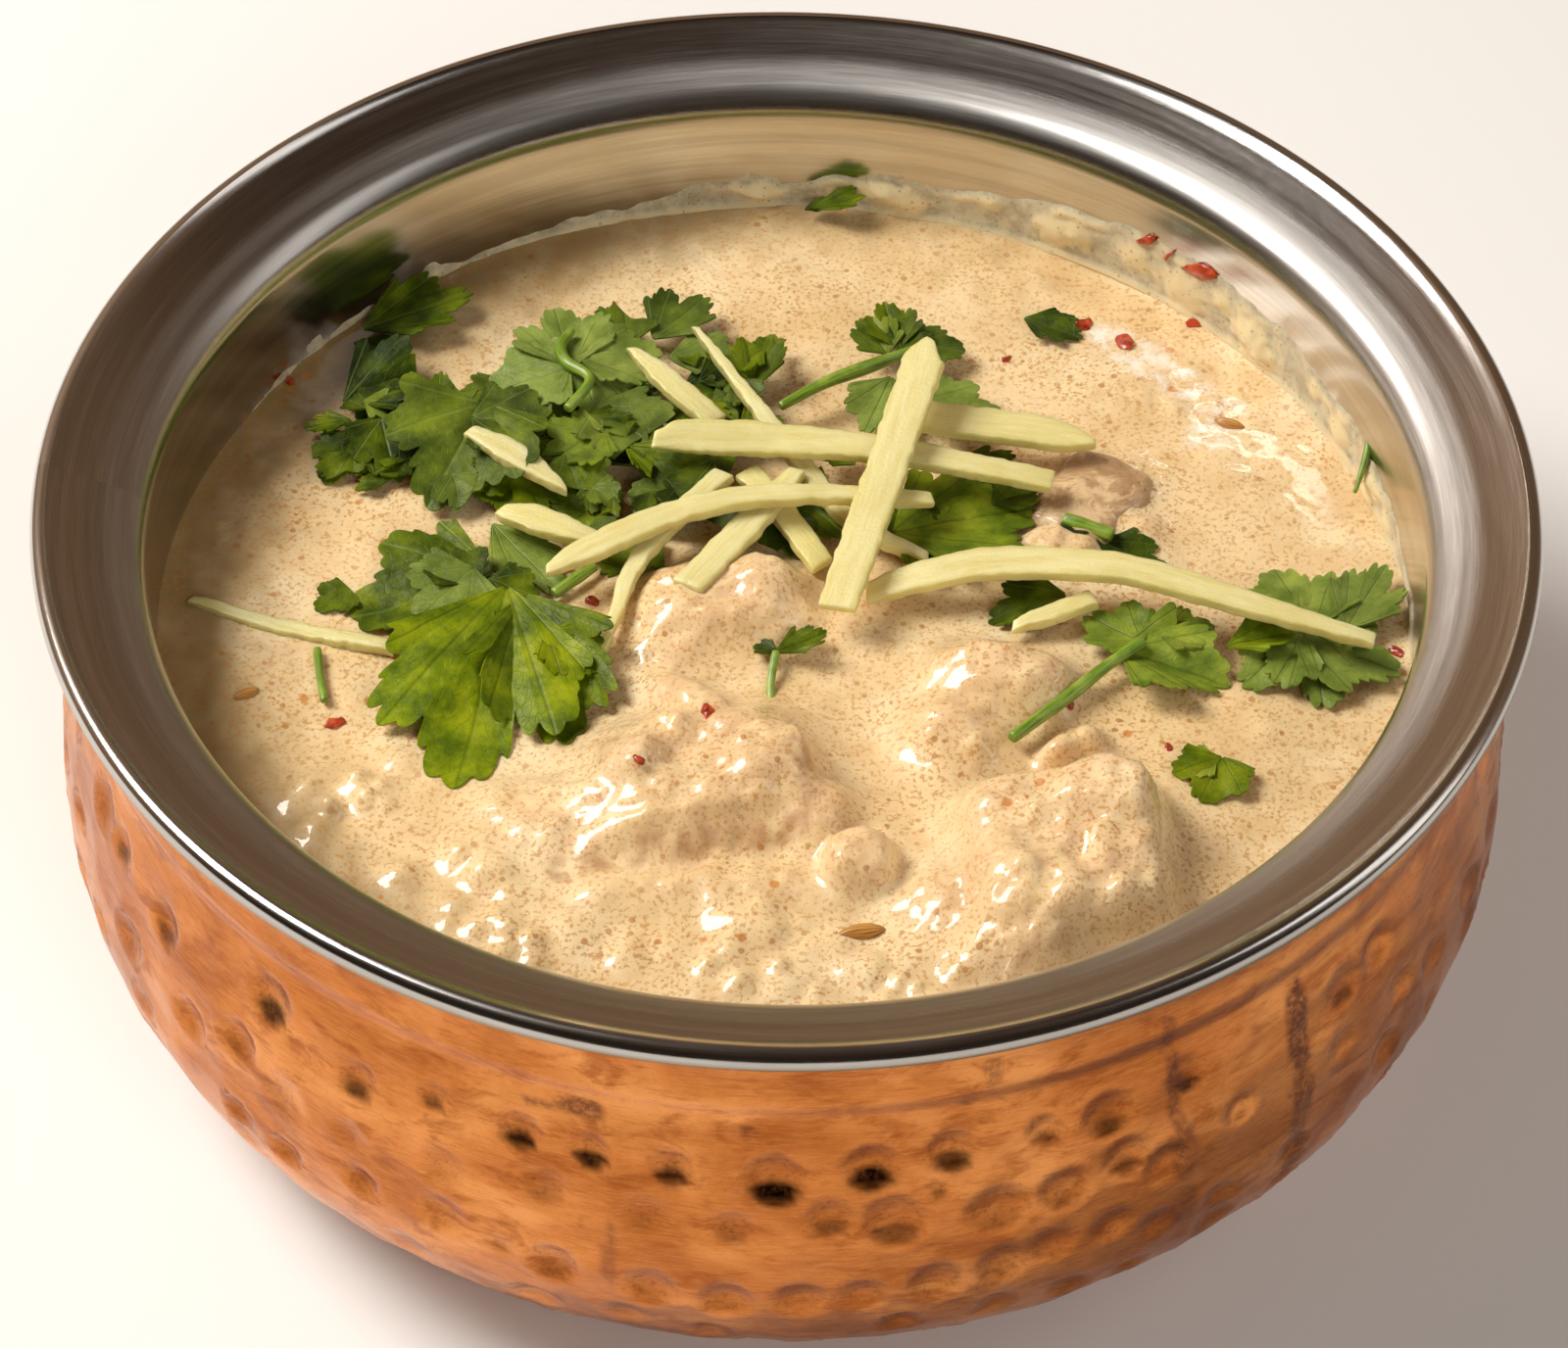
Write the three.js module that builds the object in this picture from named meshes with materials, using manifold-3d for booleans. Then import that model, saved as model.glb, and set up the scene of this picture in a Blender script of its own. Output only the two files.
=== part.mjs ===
// Chicken curry in a double-walled serving bowl: a steel liner with a wide flared rim inside a
// hammered copper shell, filled with a cream gravy, pieces of chicken, coriander leaves and
// strips of fresh ginger. Millimetres, +Z up, origin at the middle of the underside of the bowl.
import * as THREE from 'three';
import { mergeVertices } from 'three/addons/utils/BufferGeometryUtils.js';
import Module from 'manifold-3d';

const wasm = await Module();
wasm.setup();

// ---- driving dimensions ----
const BOWL_HEIGHT = 63;        // underside to the top of the rim
const RIM_RADIUS = 80;         // outer edge of the flared rim
const RIM_BAND = 2.6;          // height of the ground edge of the rim
const RIM_SLOPE = 0.412;       // rise of the flared rim for each millimetre outwards
const BEND_RADIUS = 3;         // fold between the wall of the liner and its rim
const LINER_RADIUS = 68.3;     // inside of the liner at its mouth
const LINER_FLOOR = 6;         // inside bottom of the liner
const LINER_CORNER = 18.5;     // radius between its floor and its wall
const LINER_SHEET = 1.2;
const SHELL_RADIUS = 79.4;     // widest point of the copper belly
const SHELL_ARC = 26;          // radius of the lower belly, which is also the height of its middle
const SHELL_SHEET = 1.0;
const GRAVY_LEVEL = 42.5;      // height of the gravy above the table
const GAP = 0.3;               // clearance between neighbouring pieces
const BOWL_STEPS = 44;         // facets round the bowl
const STRIP_THICKNESS = 1.4;   // ginger is sliced this thin before it is cut into strips
const LEAF_THICKNESS = 0.6;
const MEAT_DEPTH = 9;          // how far a piece of chicken reaches under the gravy

// ---- meshes and solids ----
const radians = THREE.MathUtils.degToRad;

function signedVolume(geometry) {
  const position = geometry.attributes.position;
  const index = geometry.index;
  const corner = [new THREE.Vector3(), new THREE.Vector3(), new THREE.Vector3()];
  let volume = 0;
  for (let i = 0; i < index.count; i += 3) {
    corner.forEach((point, k) => point.fromBufferAttribute(position, index.getX(i + k)));
    volume += corner[0].dot(corner[1].clone().cross(corner[2])) / 6;
  }
  return volume;
}

// Welds a closed mesh, drops its collapsed triangles and turns its faces outwards.
function weld(geometry) {
  geometry.deleteAttribute('normal');
  geometry.deleteAttribute('uv');
  const welded = mergeVertices(geometry, 1e-4);
  const kept = [];
  const index = welded.index;
  for (let i = 0; i < index.count; i += 3) {
    const [a, b, c] = [index.getX(i), index.getX(i + 1), index.getX(i + 2)];
    if (a !== b && b !== c && c !== a) kept.push(a, b, c);
  }
  welded.setIndex(kept);
  if (signedVolume(welded) < 0) welded.setIndex(kept.reverse());
  return welded;
}

function meshOf(points, triangles) {
  const geometry = new THREE.BufferGeometry();
  geometry.setAttribute('position', new THREE.Float32BufferAttribute(points.flat(), 3));
  geometry.setIndex(triangles.flat());
  return weld(geometry);
}

function toSolid(geometry) {
  return new wasm.Manifold(new wasm.Mesh({
    numProp: 3,
    vertProperties: new Float32Array(geometry.attributes.position.array),
    triVerts: new Uint32Array(geometry.index.array),
  }));
}

function toGeometry(solid) {
  const mesh = solid.getMesh();
  const geometry = new THREE.BufferGeometry();
  geometry.setAttribute('position', new THREE.BufferAttribute(mesh.vertProperties, 3));
  geometry.setIndex(Array.from(mesh.triVerts));
  return geometry;
}

// Cuts the solids of `others` out of a solid and keeps the largest body that is left.
function cutRound(solid, others) {
  const cut = others.reduce((rest, other) => rest.subtract(other), solid);
  return cut.decompose().reduce((best, body) => (body.volume() > best.volume() ? body : best));
}

// ---- profiles and sweeps ----
function arc(middleR, middleZ, radius, from, to, steps) {
  return Array.from({ length: steps + 1 }, (_, i) => {
    const angle = radians(from + ((to - from) * i) / steps);
    return new THREE.Vector2(middleR + radius * Math.cos(angle), middleZ + radius * Math.sin(angle));
  });
}

function points2(...pairs) {
  return pairs.map(([r, z]) => new THREE.Vector2(r, z));
}

function lathe(profile) {
  return weld(new THREE.LatheGeometry(profile, BOWL_STEPS).rotateX(Math.PI / 2));
}

// Closed grid: `rings` are loops of equal length, and both ends are closed round their middle.
function skin(rings) {
  const count = rings[0].length;
  const middle = (ring) => [0, 1, 2].map((k) => ring.reduce((sum, p) => sum + p[k], 0) / count);
  const points = [...rings.flat(), middle(rings[0]), middle(rings[rings.length - 1])];
  const first = rings.length * count;
  const triangles = [];
  for (let j = 0; j < count; j += 1) {
    const next = (j + 1) % count;
    for (let i = 0; i + 1 < rings.length; i += 1) {
      const [a, b] = [i * count + j, i * count + next];
      triangles.push([a, b, b + count], [a, b + count, a + count]);
    }
    const last = (rings.length - 1) * count;
    triangles.push([first, next, j], [first + 1, last + j, last + next]);
  }
  return meshOf(points, triangles);
}

// ---- the bowl ----
function linerProfile() {
  const cornerR = LINER_RADIUS - LINER_CORNER - 0.3;
  const cornerZ = LINER_FLOOR + LINER_CORNER;
  const bendEnd = 90 + THREE.MathUtils.radToDeg(Math.atan(RIM_SLOPE));
  const rimTop = (r) => BOWL_HEIGHT - (RIM_RADIUS - 0.6 - r) * RIM_SLOPE;
  const bendR = LINER_RADIUS + BEND_RADIUS;
  const touchR = bendR + BEND_RADIUS * Math.cos(radians(bendEnd));
  const bendZ = rimTop(touchR) - BEND_RADIUS * Math.sin(radians(bendEnd));
  const wallR = LINER_RADIUS + LINER_SHEET;
  const edgeZ = BOWL_HEIGHT - RIM_BAND;
  const underside = (r) => edgeZ - 0.2 - (RIM_RADIUS - 0.6 - r) * RIM_SLOPE;
  return [
    ...points2([0, LINER_FLOOR]),
    ...arc(cornerR, cornerZ, LINER_CORNER, -90, 0, 3),
    ...arc(bendR, bendZ, BEND_RADIUS, 180, bendEnd, 3),
    ...points2([RIM_RADIUS - 0.6, BOWL_HEIGHT], [RIM_RADIUS, BOWL_HEIGHT - 0.6]),
    ...points2([RIM_RADIUS, edgeZ], [RIM_RADIUS - 0.6, edgeZ - 0.2]),
    ...points2([wallR + 2.5, underside(wallR + 2.5)], [wallR + 0.6, underside(wallR + 0.6) - 0.8]),
    ...points2([wallR, underside(wallR) - 2.5]),
    ...arc(cornerR, cornerZ, LINER_CORNER + LINER_SHEET, 0, -90, 3),
    ...points2([0, LINER_FLOOR - LINER_SHEET]),
  ];
}

// The belly, its rounded shoulder, the groove, the raised bead and the collar under the rim.
function shellProfile() {
  const bellyR = SHELL_RADIUS - SHELL_ARC;
  const outside = points2([78.9, 36], [77.6, 45], [76.3, 49.5], [77, 52], [75.5, 55]);
  const inside = points2([75.2, 49.8], [77.8, 36]);
  return [
    ...points2([0, 0]),
    ...arc(bellyR, SHELL_ARC, SHELL_ARC, -90, 0, 5),
    ...outside,
    ...points2([74.4, 57.8], [73.4, 57.4]),
    ...inside,
    ...arc(bellyR, SHELL_ARC, SHELL_ARC - SHELL_SHEET, 0, -90, 4),
    ...points2([0, SHELL_SHEET]),
  ];
}

// ---- the gravy ----
// Grainy curds that stand out of the gravy: x, y, radius and height.
const CURDS = [
  [-47, -29, 8, 2.4], [-34, -43, 7, 2.2], [-26, -48, 6, 1.6], [-4, -50, 9, 2.4], [12, -53, 7, 2],
  [-12, -45, 6, 1.2], [36, -17, 6, 1.4], [50, -30, 8, 0.8], [40, 33, 9, 0.8], [-42, -16, 8, 0.8],
];

function gravyHeight(x, y) {
  const swell = 0.35 * Math.sin(x * 0.09 + 1) * Math.cos(y * 0.11) + 0.2 * Math.sin(x * 0.23 - y * 0.17);
  const curds = CURDS.reduce((sum, [cx, cy, radius, height]) => {
    const reach = ((x - cx) ** 2 + (y - cy) ** 2) / radius ** 2;
    return sum + height * Math.exp(-2 * reach);
  }, 0);
  return GRAVY_LEVEL + swell + curds;
}

function gravy() {
  const wall = LINER_RADIUS - 0.3 - GAP;
  const corner = LINER_CORNER - GAP;
  const cornerR = LINER_RADIUS - LINER_CORNER - 0.3;
  const loop = (radius, height) => Array.from({ length: BOWL_STEPS }, (_, j) => {
    const angle = (j / BOWL_STEPS) * 2 * Math.PI;
    const [x, y] = [radius * Math.cos(angle), radius * Math.sin(angle)];
    return [x, y, height(x, y)];
  });
  const under = arc(cornerR, LINER_FLOOR + LINER_CORNER, corner, -90, 0, 3);
  const top = Array.from({ length: 6 }, (_, i) => wall * (1 - i / 6));
  return skin([
    ...under.map((p) => loop(p.x, () => p.y)),
    ...top.map((radius) => loop(radius, gravyHeight)),
  ]);
}

// ---- the chicken ----
// Cut meat: at is its middle, size its length, width and height above the gravy.
const CHICKEN = [
  { at: [-7, -2.5], size: [22, 13, 5.6], turn: 8, wave: 1.3, detail: 2 },
  { at: [-5, -28.5], size: [33, 20, 7.6], turn: -14, wave: 2.1, detail: 3 },
  { at: [22, -12.5], size: [17, 10, 4.6], turn: -8, wave: 0.4, detail: 2 },
  { at: [29, -38], size: [24, 23, 7.8], turn: 12, wave: 3.2, detail: 3 },
  { at: [33.5, 18], size: [16, 12, 3.6], turn: 62, wave: 4.4, detail: 2 },
  { at: [29, 7.5], size: [11, 6, 2.4], turn: -20, wave: 5.3, detail: 1 },
];

// A rounded block with uneven faces, sunk into the gravy.
function meat({ at, size, turn, wave, detail }, grow = 0) {
  const geometry = new THREE.IcosahedronGeometry(1, detail);
  const position = geometry.attributes.position;
  const half = [size[0] / 2, size[1] / 2, (size[2] + MEAT_DEPTH) / 2];
  const point = new THREE.Vector3();
  const power = 2.7;
  for (let i = 0; i < position.count; i += 1) {
    point.fromBufferAttribute(position, i).normalize();
    const sum = [point.x, point.y, point.z].reduce((s, v) => s + Math.abs(v) ** power, 0);
    const uneven = 0.05 * Math.sin(5 * point.x + wave) + 0.04 * Math.cos(6 * point.y - 2 * wave);
    const reach = sum ** (-1 / power) * (0.93 + uneven + 0.03 * Math.sin(7 * point.z + wave));
    point.set(...half.map((h, k) => point.getComponent(k) * (reach * h + grow)));
    position.setXYZ(i, point.x, point.y, point.z);
  }
  geometry.rotateZ(radians(turn));
  geometry.translate(at[0], at[1], GRAVY_LEVEL + (size[2] - MEAT_DEPTH) / 2);
  return weld(geometry);
}

// ---- the ginger ----
// Each strip, the top one first: points with x, y and the height of its middle above the gravy,
// and the width there.
const GINGER = [
  [[15.5, 30.7, 11.7, 3.2], [14, 25, 10.7, 4.6], [5.5, -4, 5.2, 4.2]],
  [[-15, 19.2, 7.6, 2.2], [-9, 19.6, 7.5, 3.6], [10, 18.8, 7.0, 3.2], [29.3, 15.4, 5.8, 2.6]],
  [[-26, 0.4, 5.4, 1.4], [-21, 3.6, 6, 3], [-10.5, 9, 6.9, 2.7], [0.5, 11.2, 7.2, 2.4], [16, 12, 6, 1.8]],
  [[-31.7, 11, 3.9, 1.6], [-27, 9.4, 4.1, 3.6], [-18.4, 5.7, 3.8, 1.2]],
  [[-18, 34.7, 6.9, 1.2], [-13.5, 30, 6.4, 2.6], [-8, 24.6, 5.2, 2.6]],
  [[1.2, 17, 5.2, 2], [-3.8, 8.9, 5.2, 3.2], [-10.6, -1.2, 4.7, 3.2]],
  [[-4.6, 18, 4.1, 3], [4, 4.4, 2.9, 2.8]],
  [[-10.8, 39.4, 6, 0.9], [-2.4, 25.3, 5.2, 1.8], [6.8, 11.6, 3.4, 2.2], [15.6, 6.4, 2.6, 1.2]],
  [[-7, 16.5, 5.1, 2.2], [-15.8, 4, 4.4, 2], [-19.6, -8.5, 1.9, 1]],
  [[14, 25.5, 6, 3.6], [26, 24, 5.6, 4.4], [33.7, 22.7, 5.2, 1.2]],
  [[8.8, 0.4, 2.6, 3.4], [23.4, 3.3, 5, 4], [36.1, 1.8, 6, 3.6], [46, -1.8, 6, 3.2], [63.3, -7.7, 5, 1.8]],
  [[24.6, -3.8, 2, 1.6], [33.6, 0, 3, 2]],
  [[-35.6, 22.3, 5.2, 1.4], [-30, 18.4, 5, 3], [-24.3, 13.7, 4.4, 0.9]],
  [[-64.8, 0, 0.3, 1.4], [-42.2, -7.1, 0.6, 1.8]],
];

// Sweeps a flat section along a smooth line through the points.
function strip(points, thickness, grow = 0) {
  const curve = new THREE.CatmullRomCurve3(points.map(([x, y, h]) => new THREE.Vector3(x, y, GRAVY_LEVEL + h)));
  const steps = points.length > 2 ? 2 * (points.length - 1) : 1;
  const rings = [];
  for (let i = 0; i <= steps; i += 1) {
    const place = (i / steps) * (points.length - 1);
    const before = Math.min(Math.floor(place), points.length - 2);
    const width = THREE.MathUtils.lerp(points[before][3], points[before + 1][3], place - before);
    const middle = curve.getPoint(i / steps);
    const along = curve.getTangent(i / steps);
    if (i === 0) middle.addScaledVector(along, -grow);
    if (i === steps) middle.addScaledVector(along, grow);
    const side = new THREE.Vector3(0, 0, 1).cross(along).normalize();
    const up = along.clone().cross(side);
    rings.push([[1, 1], [-1, 1], [-1, -1], [1, -1]].map(([s, u]) => middle.clone()
      .addScaledVector(side, s * (width / 2 + grow))
      .addScaledVector(up, u * (thickness / 2 + grow)).toArray()));
  }
  return skin(rings);
}

// ---- the coriander ----
// Leaves: at is the middle with its height above the gravy, size its length and width.
const LEAVES = {
  back_left: { at: [-43, 45.5, 1.6], size: [14, 8], turn: 25, tilt: 10, cup: 1.2 },
  front_dark: { at: [-37.5, -0.5, 2], size: [19, 10], turn: 10, tilt: -4, cup: 1.4 },
  front_bright: { at: [-29.5, -13, 3], size: [21, 17], turn: -68, tilt: 8, cup: 2.2 },
  back_sprig: { at: [12.5, 41, 2.2], size: [13, 8], turn: -15, tilt: 6, cup: 1 },
  under_strips: { at: [15.5, 30, 2.6], size: [17, 8], turn: -20, tilt: 6, cup: 1 },
  middle: { at: [19.5, 11.5, 2.2], size: [17, 10], turn: 20, tilt: -8, cup: 1 },
  folded_right: { at: [39.5, -4.5, 2.2], size: [15, 9], turn: -35, tilt: 4, cup: 1.2 },
  right: { at: [56.6, -2.2, 1.8], size: [18.5, 15], turn: 12, tilt: 2, cup: 0.9 },
  small_right: { at: [44, -24, 1.2], size: [7, 6], turn: -40, tilt: 4, cup: 0.6 },
  small_middle: { at: [-0.5, -9, 3.4], size: [7, 3], turn: 20, tilt: 14, cup: 0.4 },
};

// A cupped leaf with a lobed outline.
function leaf({ at, size, turn, tilt, cup }, grow = 0) {
  const count = size[0] > 10 ? 15 : 9;
  const lobes = size[0] > 10 ? 5 : 3;
  const loop = (reach, offset) => Array.from({ length: count }, (_, j) => {
    const angle = (j / count) * 2 * Math.PI;
    const lobed = reach * (1 + 0.18 * Math.cos(lobes * angle));
    const x = Math.cos(angle) * (lobed * size[0] / 2 + grow * reach);
    const y = Math.sin(angle) * (lobed * size[1] / 2 + grow * reach);
    return [x, y, cup * (0.5 - reach * reach) + offset];
  });
  const half = LEAF_THICKNESS / 2 + grow;
  const geometry = skin([loop(0.5, -half), loop(1, -half), loop(1, half), loop(0.5, half)]);
  geometry.rotateX(radians(tilt)).rotateZ(radians(turn));
  return geometry.translate(at[0], at[1], GRAVY_LEVEL + at[2]);
}

// Heaps of chopped leaves: at is the middle, reach its half length and half width, rise its height.
const HEAPS = {
  left: { at: [-39.5, 24], reach: [12.5, 10.5], rise: 4, turn: 20, wave: 0.7 },
  middle: { at: [-16, 27], reach: [19, 17], rise: 4.4, turn: 35, wave: 2.4 },
};

// A low mound with a ragged outline whose foot is just under the gravy.
function heap({ at, reach, rise, turn, wave }, grow = 0) {
  const count = 18;
  const ragged = (angle) => 0.88 + 0.09 * Math.sin(3 * angle + wave) + 0.06 * Math.sin(8 * angle - wave);
  const loop = (share, height) => Array.from({ length: count }, (_, j) => {
    const angle = (j / count) * 2 * Math.PI;
    const bump = 1 + 0.16 * Math.sin(4 * angle + 5 * share + wave);
    const [x, y] = [0, 1].map((k) => (k ? Math.sin(angle) : Math.cos(angle))
      * (reach[k] * share * ragged(angle) + grow));
    return [x, y, height * bump + grow * Math.sign(height)];
  });
  const geometry = skin([loop(1, -1), loop(1, rise * 0.35), loop(0.75, rise * 0.8), loop(0.35, rise)]);
  geometry.rotateZ(radians(turn));
  return geometry.translate(at[0], at[1], GRAVY_LEVEL);
}

const STEMS = {
  back: [[-1, 31.5, 3.2, 1.5], [7, 34.2, 3.6, 1.7], [13, 36, 2.6, 1.5]],
  right: [[34.5, -9.6, 2.2, 1.5], [30, -14, 2.2, 1.5], [24.5, -20, 2.4, 1.4]],
};
const STEM_THICKNESS = 1.3;

// ---- the colours and the finished group ----
function material(color, roughness, metalness = 0) {
  return new THREE.MeshStandardMaterial({ color, roughness, metalness });
}

const STEEL = material(0x9a9288, 0.25, 1);
const COPPER = material(0xc4824c, 0.35, 1);
const GRAVY = material(0xe6cfa2, 0.35);
const MEAT = material(0xd9b58c, 0.45);
const ROOT = material(0xe9e3a6, 0.4);
const LEAF = material(0x3f7d24, 0.5);
const STALK = material(0x7fa52c, 0.45);

const dish = new THREE.Group();

function place(name, geometry, finish) {
  const mesh = new THREE.Mesh(geometry, finish);
  mesh.name = name;
  dish.add(mesh);
}

// From the top of the dish down, each piece is cut clear of the pieces that lie on it or beside it.
const settled = [];
function settle(name, shape, finish) {
  place(name, toGeometry(cutRound(toSolid(shape(0)), settled)), finish);
  settled.push(toSolid(shape(GAP)));
}

function settleAll(entries, prefix, shape, finish) {
  entries.forEach(([name, spec]) => settle(`${prefix}_${name}`, (grow) => shape(spec, grow), finish));
}

place('bowl_liner', lathe(linerProfile()), STEEL);
place('copper_shell', lathe(shellProfile()), COPPER);
const numbered = (list) => list.map((spec, i) => [i + 1, spec]);
const swept = (thickness) => (spec, grow) => strip(spec, thickness, grow);
settleAll(numbered(GINGER), 'ginger', swept(STRIP_THICKNESS), ROOT);
settleAll(Object.entries(STEMS), 'coriander_stem', swept(STEM_THICKNESS), STALK);
settleAll(Object.entries(LEAVES), 'coriander_leaf', leaf, LEAF);
settleAll(Object.entries(HEAPS), 'coriander_heap', heap, LEAF);
settleAll(numbered(CHICKEN), 'chicken', meat, MEAT);
settle('gravy', gravy, GRAVY);

export default dish;
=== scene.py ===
import math
import random

import bpy
import numpy as np
from mathutils import Matrix, Vector


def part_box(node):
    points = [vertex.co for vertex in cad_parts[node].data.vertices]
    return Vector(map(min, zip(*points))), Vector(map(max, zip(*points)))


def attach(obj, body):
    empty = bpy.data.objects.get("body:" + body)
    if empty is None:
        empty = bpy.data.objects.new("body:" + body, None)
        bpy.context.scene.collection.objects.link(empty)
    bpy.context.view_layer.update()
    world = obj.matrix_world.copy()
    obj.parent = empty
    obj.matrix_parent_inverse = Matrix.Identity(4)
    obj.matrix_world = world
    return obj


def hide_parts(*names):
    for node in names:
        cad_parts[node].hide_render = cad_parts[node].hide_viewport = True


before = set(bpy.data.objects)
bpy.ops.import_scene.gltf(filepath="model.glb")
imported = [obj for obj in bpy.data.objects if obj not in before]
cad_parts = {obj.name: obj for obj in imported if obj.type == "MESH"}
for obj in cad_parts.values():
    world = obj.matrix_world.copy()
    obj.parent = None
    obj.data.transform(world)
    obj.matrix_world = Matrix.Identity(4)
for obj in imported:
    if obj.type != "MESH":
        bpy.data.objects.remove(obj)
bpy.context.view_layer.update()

# ------------------------------------------------------------------ sizes, in millimetres
MM = 0.001
RIM_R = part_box("bowl_liner")[1][0] / MM
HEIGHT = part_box("bowl_liner")[1][2] / MM
FLOOR_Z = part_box("bowl_liner")[0][2] / MM
BELLY_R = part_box("copper_shell")[1][0] / MM
GRAVY_Z = 42.5                  # level of the gravy above the table
MOUTH_R = 68.3                  # inside of the liner at the gravy
SHEET = 1.2                     # liner sheet
COPPER = 1.0                    # shell sheet
BELLY_ARC = 26.0                # radius of the lower belly
CORNER = 18.5                   # radius between the liner's floor and wall
RIM_SLOPE = 0.412               # rise of the flared rim for each millimetre outwards
BEND = 4.2                      # radius of the fold between wall and rim
CENTRE_R = 14                   # radius of the first ring of a turned profile
LINER_SIDES = 256
SHELL_SIDES = 640
GRAVY_R = MOUTH_R + 0.08        # the gravy presses this far into the steel
GRAVY_CUTS = 288
GRAVY_SIDE_Z = 36               # height down to which the gravy's side is straight
MEAT_DEPTH = 9.0                # how far the chicken reaches under the gravy
GINGER_THICK = 1.45             # the strips are cut from slices of this thickness
LEAF_THICK = 0.2
WRAP_R = 0.078                  # metres: where a length round the axis is true
FULL_TURN = 2 * math.pi
SEED = 11


# ------------------------------------------------------------------ handling meshes
def let_go():
    """Leaves edit mode and lets go of everything."""
    if bpy.context.object and bpy.context.object.mode != "OBJECT":
        bpy.ops.object.mode_set(mode="OBJECT")
    bpy.ops.object.select_all(action="DESELECT")


def take(piece):
    """Makes the piece the only one selected, and active."""
    let_go()
    piece.select_set(True)
    bpy.context.view_layer.objects.active = piece


def fresh(name):
    """Names the primitive that was just added and puts its place into its mesh."""
    piece = bpy.context.object
    piece.name = name
    piece.data.name = name
    bpy.ops.object.transform_apply(location=True, rotation=True, scale=True)
    return piece


def points_of(piece):
    """The piece's vertices as an array, in millimetres."""
    flat = np.empty(len(piece.data.vertices) * 3)
    piece.data.vertices.foreach_get("co", flat)
    return flat.reshape(-1, 3) / MM


def side_by_side(*columns):
    """One row for each vertex, from one array for each column."""
    return np.stack(columns, axis=1)


def move_points(piece, points):
    """Puts the piece's vertices at the given places, in millimetres."""
    piece.data.vertices.foreach_set("co", (points * MM).ravel())
    piece.data.update()


def write_value(piece, name, values):
    """Stores one number for each vertex, for the piece's material to read."""
    layer = piece.data.attributes.get(name) or piece.data.attributes.new(name, "FLOAT", "POINT")
    layer.data.foreach_set("value", np.asarray(values, dtype=np.float32))


def write_uv(piece, u, v):
    """Gives the piece a UV map from two numbers for each vertex."""
    layer = piece.data.uv_layers.active or piece.data.uv_layers.new(name="flat")
    corners = np.empty(len(piece.data.loops), dtype=np.int32)
    piece.data.loops.foreach_get("vertex_index", corners)
    layer.data.foreach_set("uv", np.asarray(side_by_side(u, v), dtype=np.float32)[corners].ravel())


def join(pieces, name):
    """Joins the pieces into the first one."""
    take(pieces[0])
    for other in pieces[1:]:
        other.select_set(True)
    if len(pieces) > 1:
        bpy.ops.object.join()
    pieces[0].name = name
    pieces[0].data.name = name
    return pieces[0]


def close_up():
    """Fills what is still open, turns all faces outwards and leaves edit mode."""
    bpy.ops.mesh.select_all(action="SELECT")
    bpy.ops.mesh.fill_holes(sides=0)
    bpy.ops.mesh.normals_make_consistent(inside=False)
    bpy.ops.object.mode_set(mode="OBJECT")


def work_with(piece, kind, **settings):
    """Gives the piece a modifier and applies it."""
    take(piece)
    modifier = piece.modifiers.new(kind.lower(), kind)
    for key, value in settings.items():
        setattr(modifier, key, value)
    bpy.ops.object.modifier_apply(modifier=modifier.name)


def round_off(piece):
    """Softens the piece's edges by one level of subdivision."""
    work_with(piece, "SUBSURF", levels=1, render_levels=1)


def finish_piece(piece, material, nodes=(), angle=60):
    """Smooths and paints the piece, and hides the CAD nodes it stands for."""
    take(piece)
    bpy.ops.object.shade_smooth_by_angle(angle=math.radians(angle))
    piece.data.materials.clear()
    piece.data.materials.append(material)
    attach(piece, "root")
    if nodes:
        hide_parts(*nodes)


def smooth_step(low, high, values):
    """Rises smoothly from 0 at `low` to 1 at `high`."""
    share = np.clip((values - low) / (high - low), 0, 1)
    return share * share * (3 - 2 * share)


def wobble(x, y, size, seed, layers=3):
    """Soft noise over the plane, about -1 to 1, whose largest lumps are `size` across."""
    dice = np.random.default_rng(seed)
    total = np.zeros_like(x)
    weight = 1.0
    for _ in range(layers):
        for _ in range(5):
            angle, phase = dice.uniform(0, FULL_TURN, 2)
            pitch = FULL_TURN / (size * dice.uniform(0.8, 1.5))
            across = y * math.cos(angle) - x * math.sin(angle)
            along = x * math.cos(angle) + y * math.sin(angle)
            bend = 1.3 * np.sin(pitch * 0.45 * across + 2 * phase)
            total += weight * 0.32 * np.sin(pitch * along + phase + bend)
        size *= 0.5
        weight *= 0.5
    return total


def turn_between(angle, start):
    """The turn from `start` to each angle, the short way round."""
    return (angle - start + math.pi) % FULL_TURN - math.pi


def turned_offsets(x, y, cx, cy, half_x, half_y, turn):
    """How far points lie from a middle, along and across it, in half lengths and half widths."""
    c = math.cos(math.radians(turn))
    s = math.sin(math.radians(turn))
    return ((x - cx) * c + (y - cy) * s) / half_x, (-(x - cx) * s + (y - cy) * c) / half_y


def distance_to_line(x, y, points):
    """How far places lie from a bent line, up to 9 mm."""
    nearest = np.full(len(x), 9.0)
    for (ax, ay), (bx, by) in zip(points, points[1:]):
        along = (x - ax) * (bx - ax) + (y - ay) * (by - ay)
        run = np.clip(along / ((bx - ax) ** 2 + (by - ay) ** 2), 0, 1)
        off = np.hypot(x - ax - run * (bx - ax), y - ay - run * (by - ay))
        nearest = np.minimum(nearest, off)
    return nearest


def strewn_spot(dice, x, y, reach):
    """A random place in a round patch, and its distance from the middle."""
    angle = dice.uniform(0, FULL_TURN)
    far = reach * math.sqrt(dice.random())
    return x + far * math.cos(angle), y + far * math.sin(angle), far


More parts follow.
